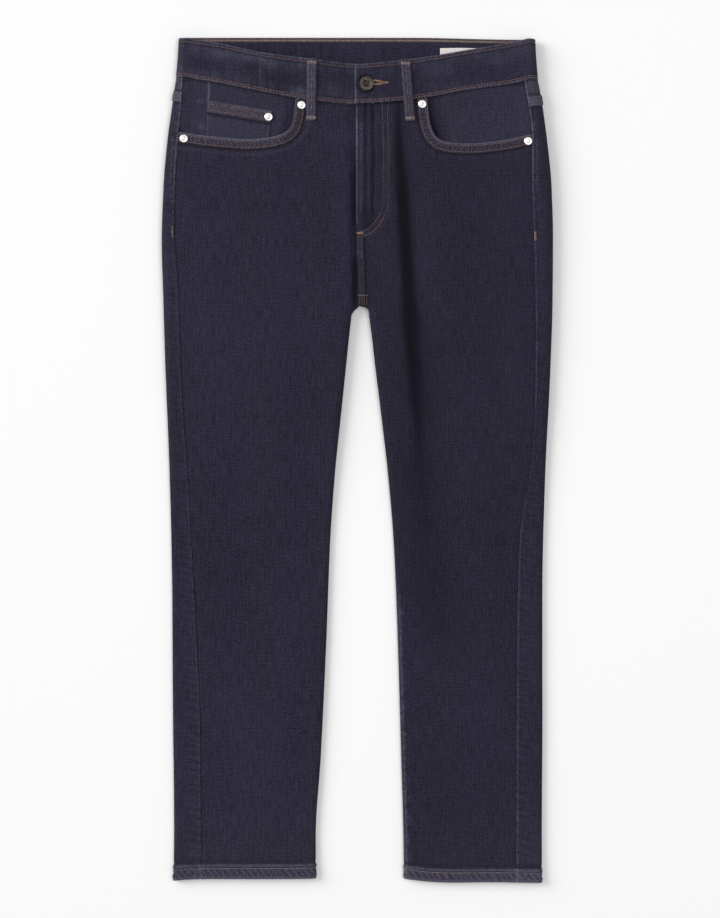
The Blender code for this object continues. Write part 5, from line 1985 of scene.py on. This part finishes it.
def topstitch(walls):
    """All the sewing that shows, each piece with its rows, its thread, its seed and its sizes."""
    threads = {name: thread(f"{name}_thread", *colours) for name, colours in THREADS.items()}
    loops = [parts[0] for name, parts in walls.items() if name.startswith("belt_loop")]
    fly_tack = [bar_across(0.3, 7.0, 772.2, 9, 0.6), beside_seam(LEFT, 1.4, 764, 774)]
    crotch_tack = [bar_across(0.5, 12.5, 698.5, 12, 0.4)]
    hip_tack = [beside_seam(RIGHT, 1.6, 768, 780)]
    wide, end = hole_rows(19, 28.5, 2.4, 1.4), hole_rows(28, HOLE_END, 1.1, 0.4)
    sewing = (
        ("topstitching", copper_rows(walls), "copper", 1, {}),
        ("hem_stitching", hem_rows(walls), "pink", 3, {"pitch": 2.7, "length": 2.75, "width": 0.8}),
        ("faded_stitching", faded_rows(), "faded", 4, {"width": 0.65, "height": 0.5}),
        ("dark_stitching", dark_rows(walls, loops), "brown", 5, {"width": 0.75}),
        ("loop_bartacks", loop_tack_rows(walls, loops), "tan", 2, {"length": 4.4, **TACK}),
        ("crotch_bartack", crotch_tack, "faded", 6, {"length": 1.8, **TACK}),
        ("crotch_rows", crotch_rows(), "brown", 14, {"length": 1.4, **TACK}),
        ("fly_bartack", fly_tack, "orange", 7, {"length": 3.0, **TACK}),
        ("hip_bartack", hip_tack, "copper", 8, {"length": 2.4, **TACK}),
        ("buttonhole_wide", wide, "orange", 9, {"length": 2.8, **TACK}),
        ("buttonhole_end", end, "orange", 10, {"length": 1.6, **TACK}),
        ("chain_stitching", [inside_band(2.0)], "cream", 11, {"unevenness": 0.25, **CHAIN}),
        ("chain_looping", [inside_band(3.1)], "tan", 12, {"unevenness": 0.2, **CHAIN}),
    )
    for name, rows, colour, seed, sizes in sewing:
        stitches(name, rows, threads[colour], seed, **sizes)


def zip_teeth(brass):
    """The two meshing rows of a closed zip, on its tape."""
    h = np.linspace(ZIP_LOW + 3, ZIP_HIGH - 3, 60)
    size = {"pitch": 2.5, "length": 3.2, "width": 1.3, "height": 1.1, "turn": math.pi / 2}
    rows = []
    for side in SIDES:
        x = ZIP_X + 1.3 * side + 0 * h
        rows.append(row_at(x, h + 0.6 * side, top(x, h) - ZIP_SINK + 0.1))
    teeth = stitches("zip_teeth", rows, brass, 13, unevenness=0.0, **size)
    return teeth


# The size that each piece of cloth was cut to, as far as it shows, with its area where it isn't a
# rectangle, and what it lies on.
CUTS = (
    ("piece", "width", "length", "area", "rests_on"),
    ("front_right", 256, 934, 161800, "back_right"),
    ("front_left", 250, 935, 154400, "back_left"),
    ("back_right", 254, 928, 204500, "floor"),
    ("back_left", 260, 926, 201400, "floor"),
    ("yoke_right", 239, 71, 11300, "floor"),
    ("yoke_left", 246, 71, 12200, "floor"),
    ("waistband", 902, 47.5, 40400, "floor"),
    ("pocket_facing_right", 155, 94, 12000, "front_right"),
    ("pocket_facing_left", 138, 89, 10500, "front_left"),
    ("coin_pocket", 75.5, 61.6, 4100, "pocket_facing_right"),
    ("back_pocket_right", 135, 150, 18000, "back_right"),
    ("back_pocket_left", 135, 150, 18000, "back_left"),
    ("belt_loop_front_right", 11.5, 73, None, "waistband"),
    ("belt_loop_front_left", 11.5, 73, None, "waistband"),
    ("belt_loop_side_right", 11.5, 67, None, "waistband"),
    ("belt_loop_side_left", 11.5, 67, None, "waistband"),
    ("belt_loop_back", 11.5, 67, None, "waistband"),
    ("blank_label", 43.5, 28.5, None, "waistband"),
    ("zip_tape_cloth", 26, 139, None, "front_left"),
)


def declare_sheets(hardware):
    """Works out every cut's sizes in metres and what is fixed on it, but keeps none of it."""
    for cut in rows_of(CUTS):
        cut["width"] * MM
        cut["length"] * MM
        cut["area"] and cut["area"] * MM * MM
        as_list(hardware.get(cut["piece"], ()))


def make_jeans():
    """Every piece, with what it replaces and its finish."""
    indigo = denim("denim")
    walls = make_cloth()
    for name, parts in walls.items():
        sew(f"{name}_cloth", parts, indigo)
        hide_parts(name)
    topstitch(walls)
    nickel, dull_brass, zip_brass = (metal(name) for name in METALS)
    caps = {}
    for name in ("mouth_right", "side_right", "coin", "mouth_left", "side_left"):
        caps[name] = turned(f"rivet_{name}_cap", f"rivet_{name}", RIVET_PROFILE, RIVET_SIDES, nickel)
    round_button = ("fly_button", "button", BUTTON_PROFILE, BUTTON_SIDES, dull_brass)
    button = turned(*round_button, BUTTON_PETALS, BUTTON_HUB)
    label = sew("blank_label", [label_cloth()], satin("label_satin"))
    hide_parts("waist_label")
    zip_cloth = sew("zip_tape_cloth", [zip_tape_cloth()], tape("zip_weave"))
    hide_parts("zip_tape")
    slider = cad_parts["zip_slider"]
    slider.material_slots[0].material = zip_brass
    hardware = {
        "front_right": (caps["mouth_right"], caps["side_right"]),
        "front_left": (caps["mouth_left"], caps["side_left"]),
        "coin_pocket": (caps["coin"],),
        "waistband": (button,),
        "zip_tape_cloth": (zip_teeth(zip_brass), slider),
    }
    declare_sheets(hardware)


# ---------------------------------------------------------------- the studio

FLOOR_SIZE, FLOOR_DROP = 12, 0.0007
WORLD_STRENGTH = 0.465

# Round soft lights, with their places and sizes in metres, and their power.
LIGHTS = (
    ("name", "place", "size", "power"),
    ("key", (-7.6, 3.4, 4.3), 6.4, 815.0),
    ("overhead", (1.4, 0.0, 4.5), 3.0, 86.0),
)

# The camera looks straight down on this place of the garment, from this many metres up.
CAMERA_X, CAMERA_H, CAMERA_UP = 3.2, 503.65, 3.0476
CAMERA_LENS, CAMERA_SENSOR = 100, 36


def make_studio():
    """A pale floor, soft light and the camera."""
    scene = bpy.context.scene
    bpy.ops.mesh.primitive_plane_add(size=FLOOR_SIZE, location=(0, 0, -FLOOR_DROP))
    floor = bpy.context.object
    floor.name = "floor"
    floor.data.materials.append(Finish("paper").shade(Base_Color=PAPER, Roughness=0.9))
    world = bpy.data.worlds.new("studio")
    world.use_nodes = True
    background = world.node_tree.nodes["Background"]
    background.inputs["Color"].default_value = (1, 1, 1, 1)
    background.inputs["Strength"].default_value = WORLD_STRENGTH
    scene.world = world
    for lamp in rows_of(LIGHTS):
        data = bpy.data.lights.new(lamp["name"], "AREA")
        data.shape, data.size, data.energy = "DISK", lamp["size"], lamp["power"]
        light = bpy.data.objects.new(lamp["name"], data)
        light.location = lamp["place"]
        light.rotation_euler = (-Vector(lamp["place"])).to_track_quat("-Z", "Y").to_euler()
        scene.collection.objects.link(light)
    data = bpy.data.cameras.new("camera")
    data.lens, data.sensor_width = CAMERA_LENS, CAMERA_SENSOR
    camera = bpy.data.objects.new("camera", data)
    camera.location = (CAMERA_X * MM, (CAMERA_H - MIDDLE) * MM, CAMERA_UP)
    scene.collection.objects.link(camera)
    scene.camera = camera
    scene.view_settings.view_transform = "Standard"


make_jeans()
make_studio()
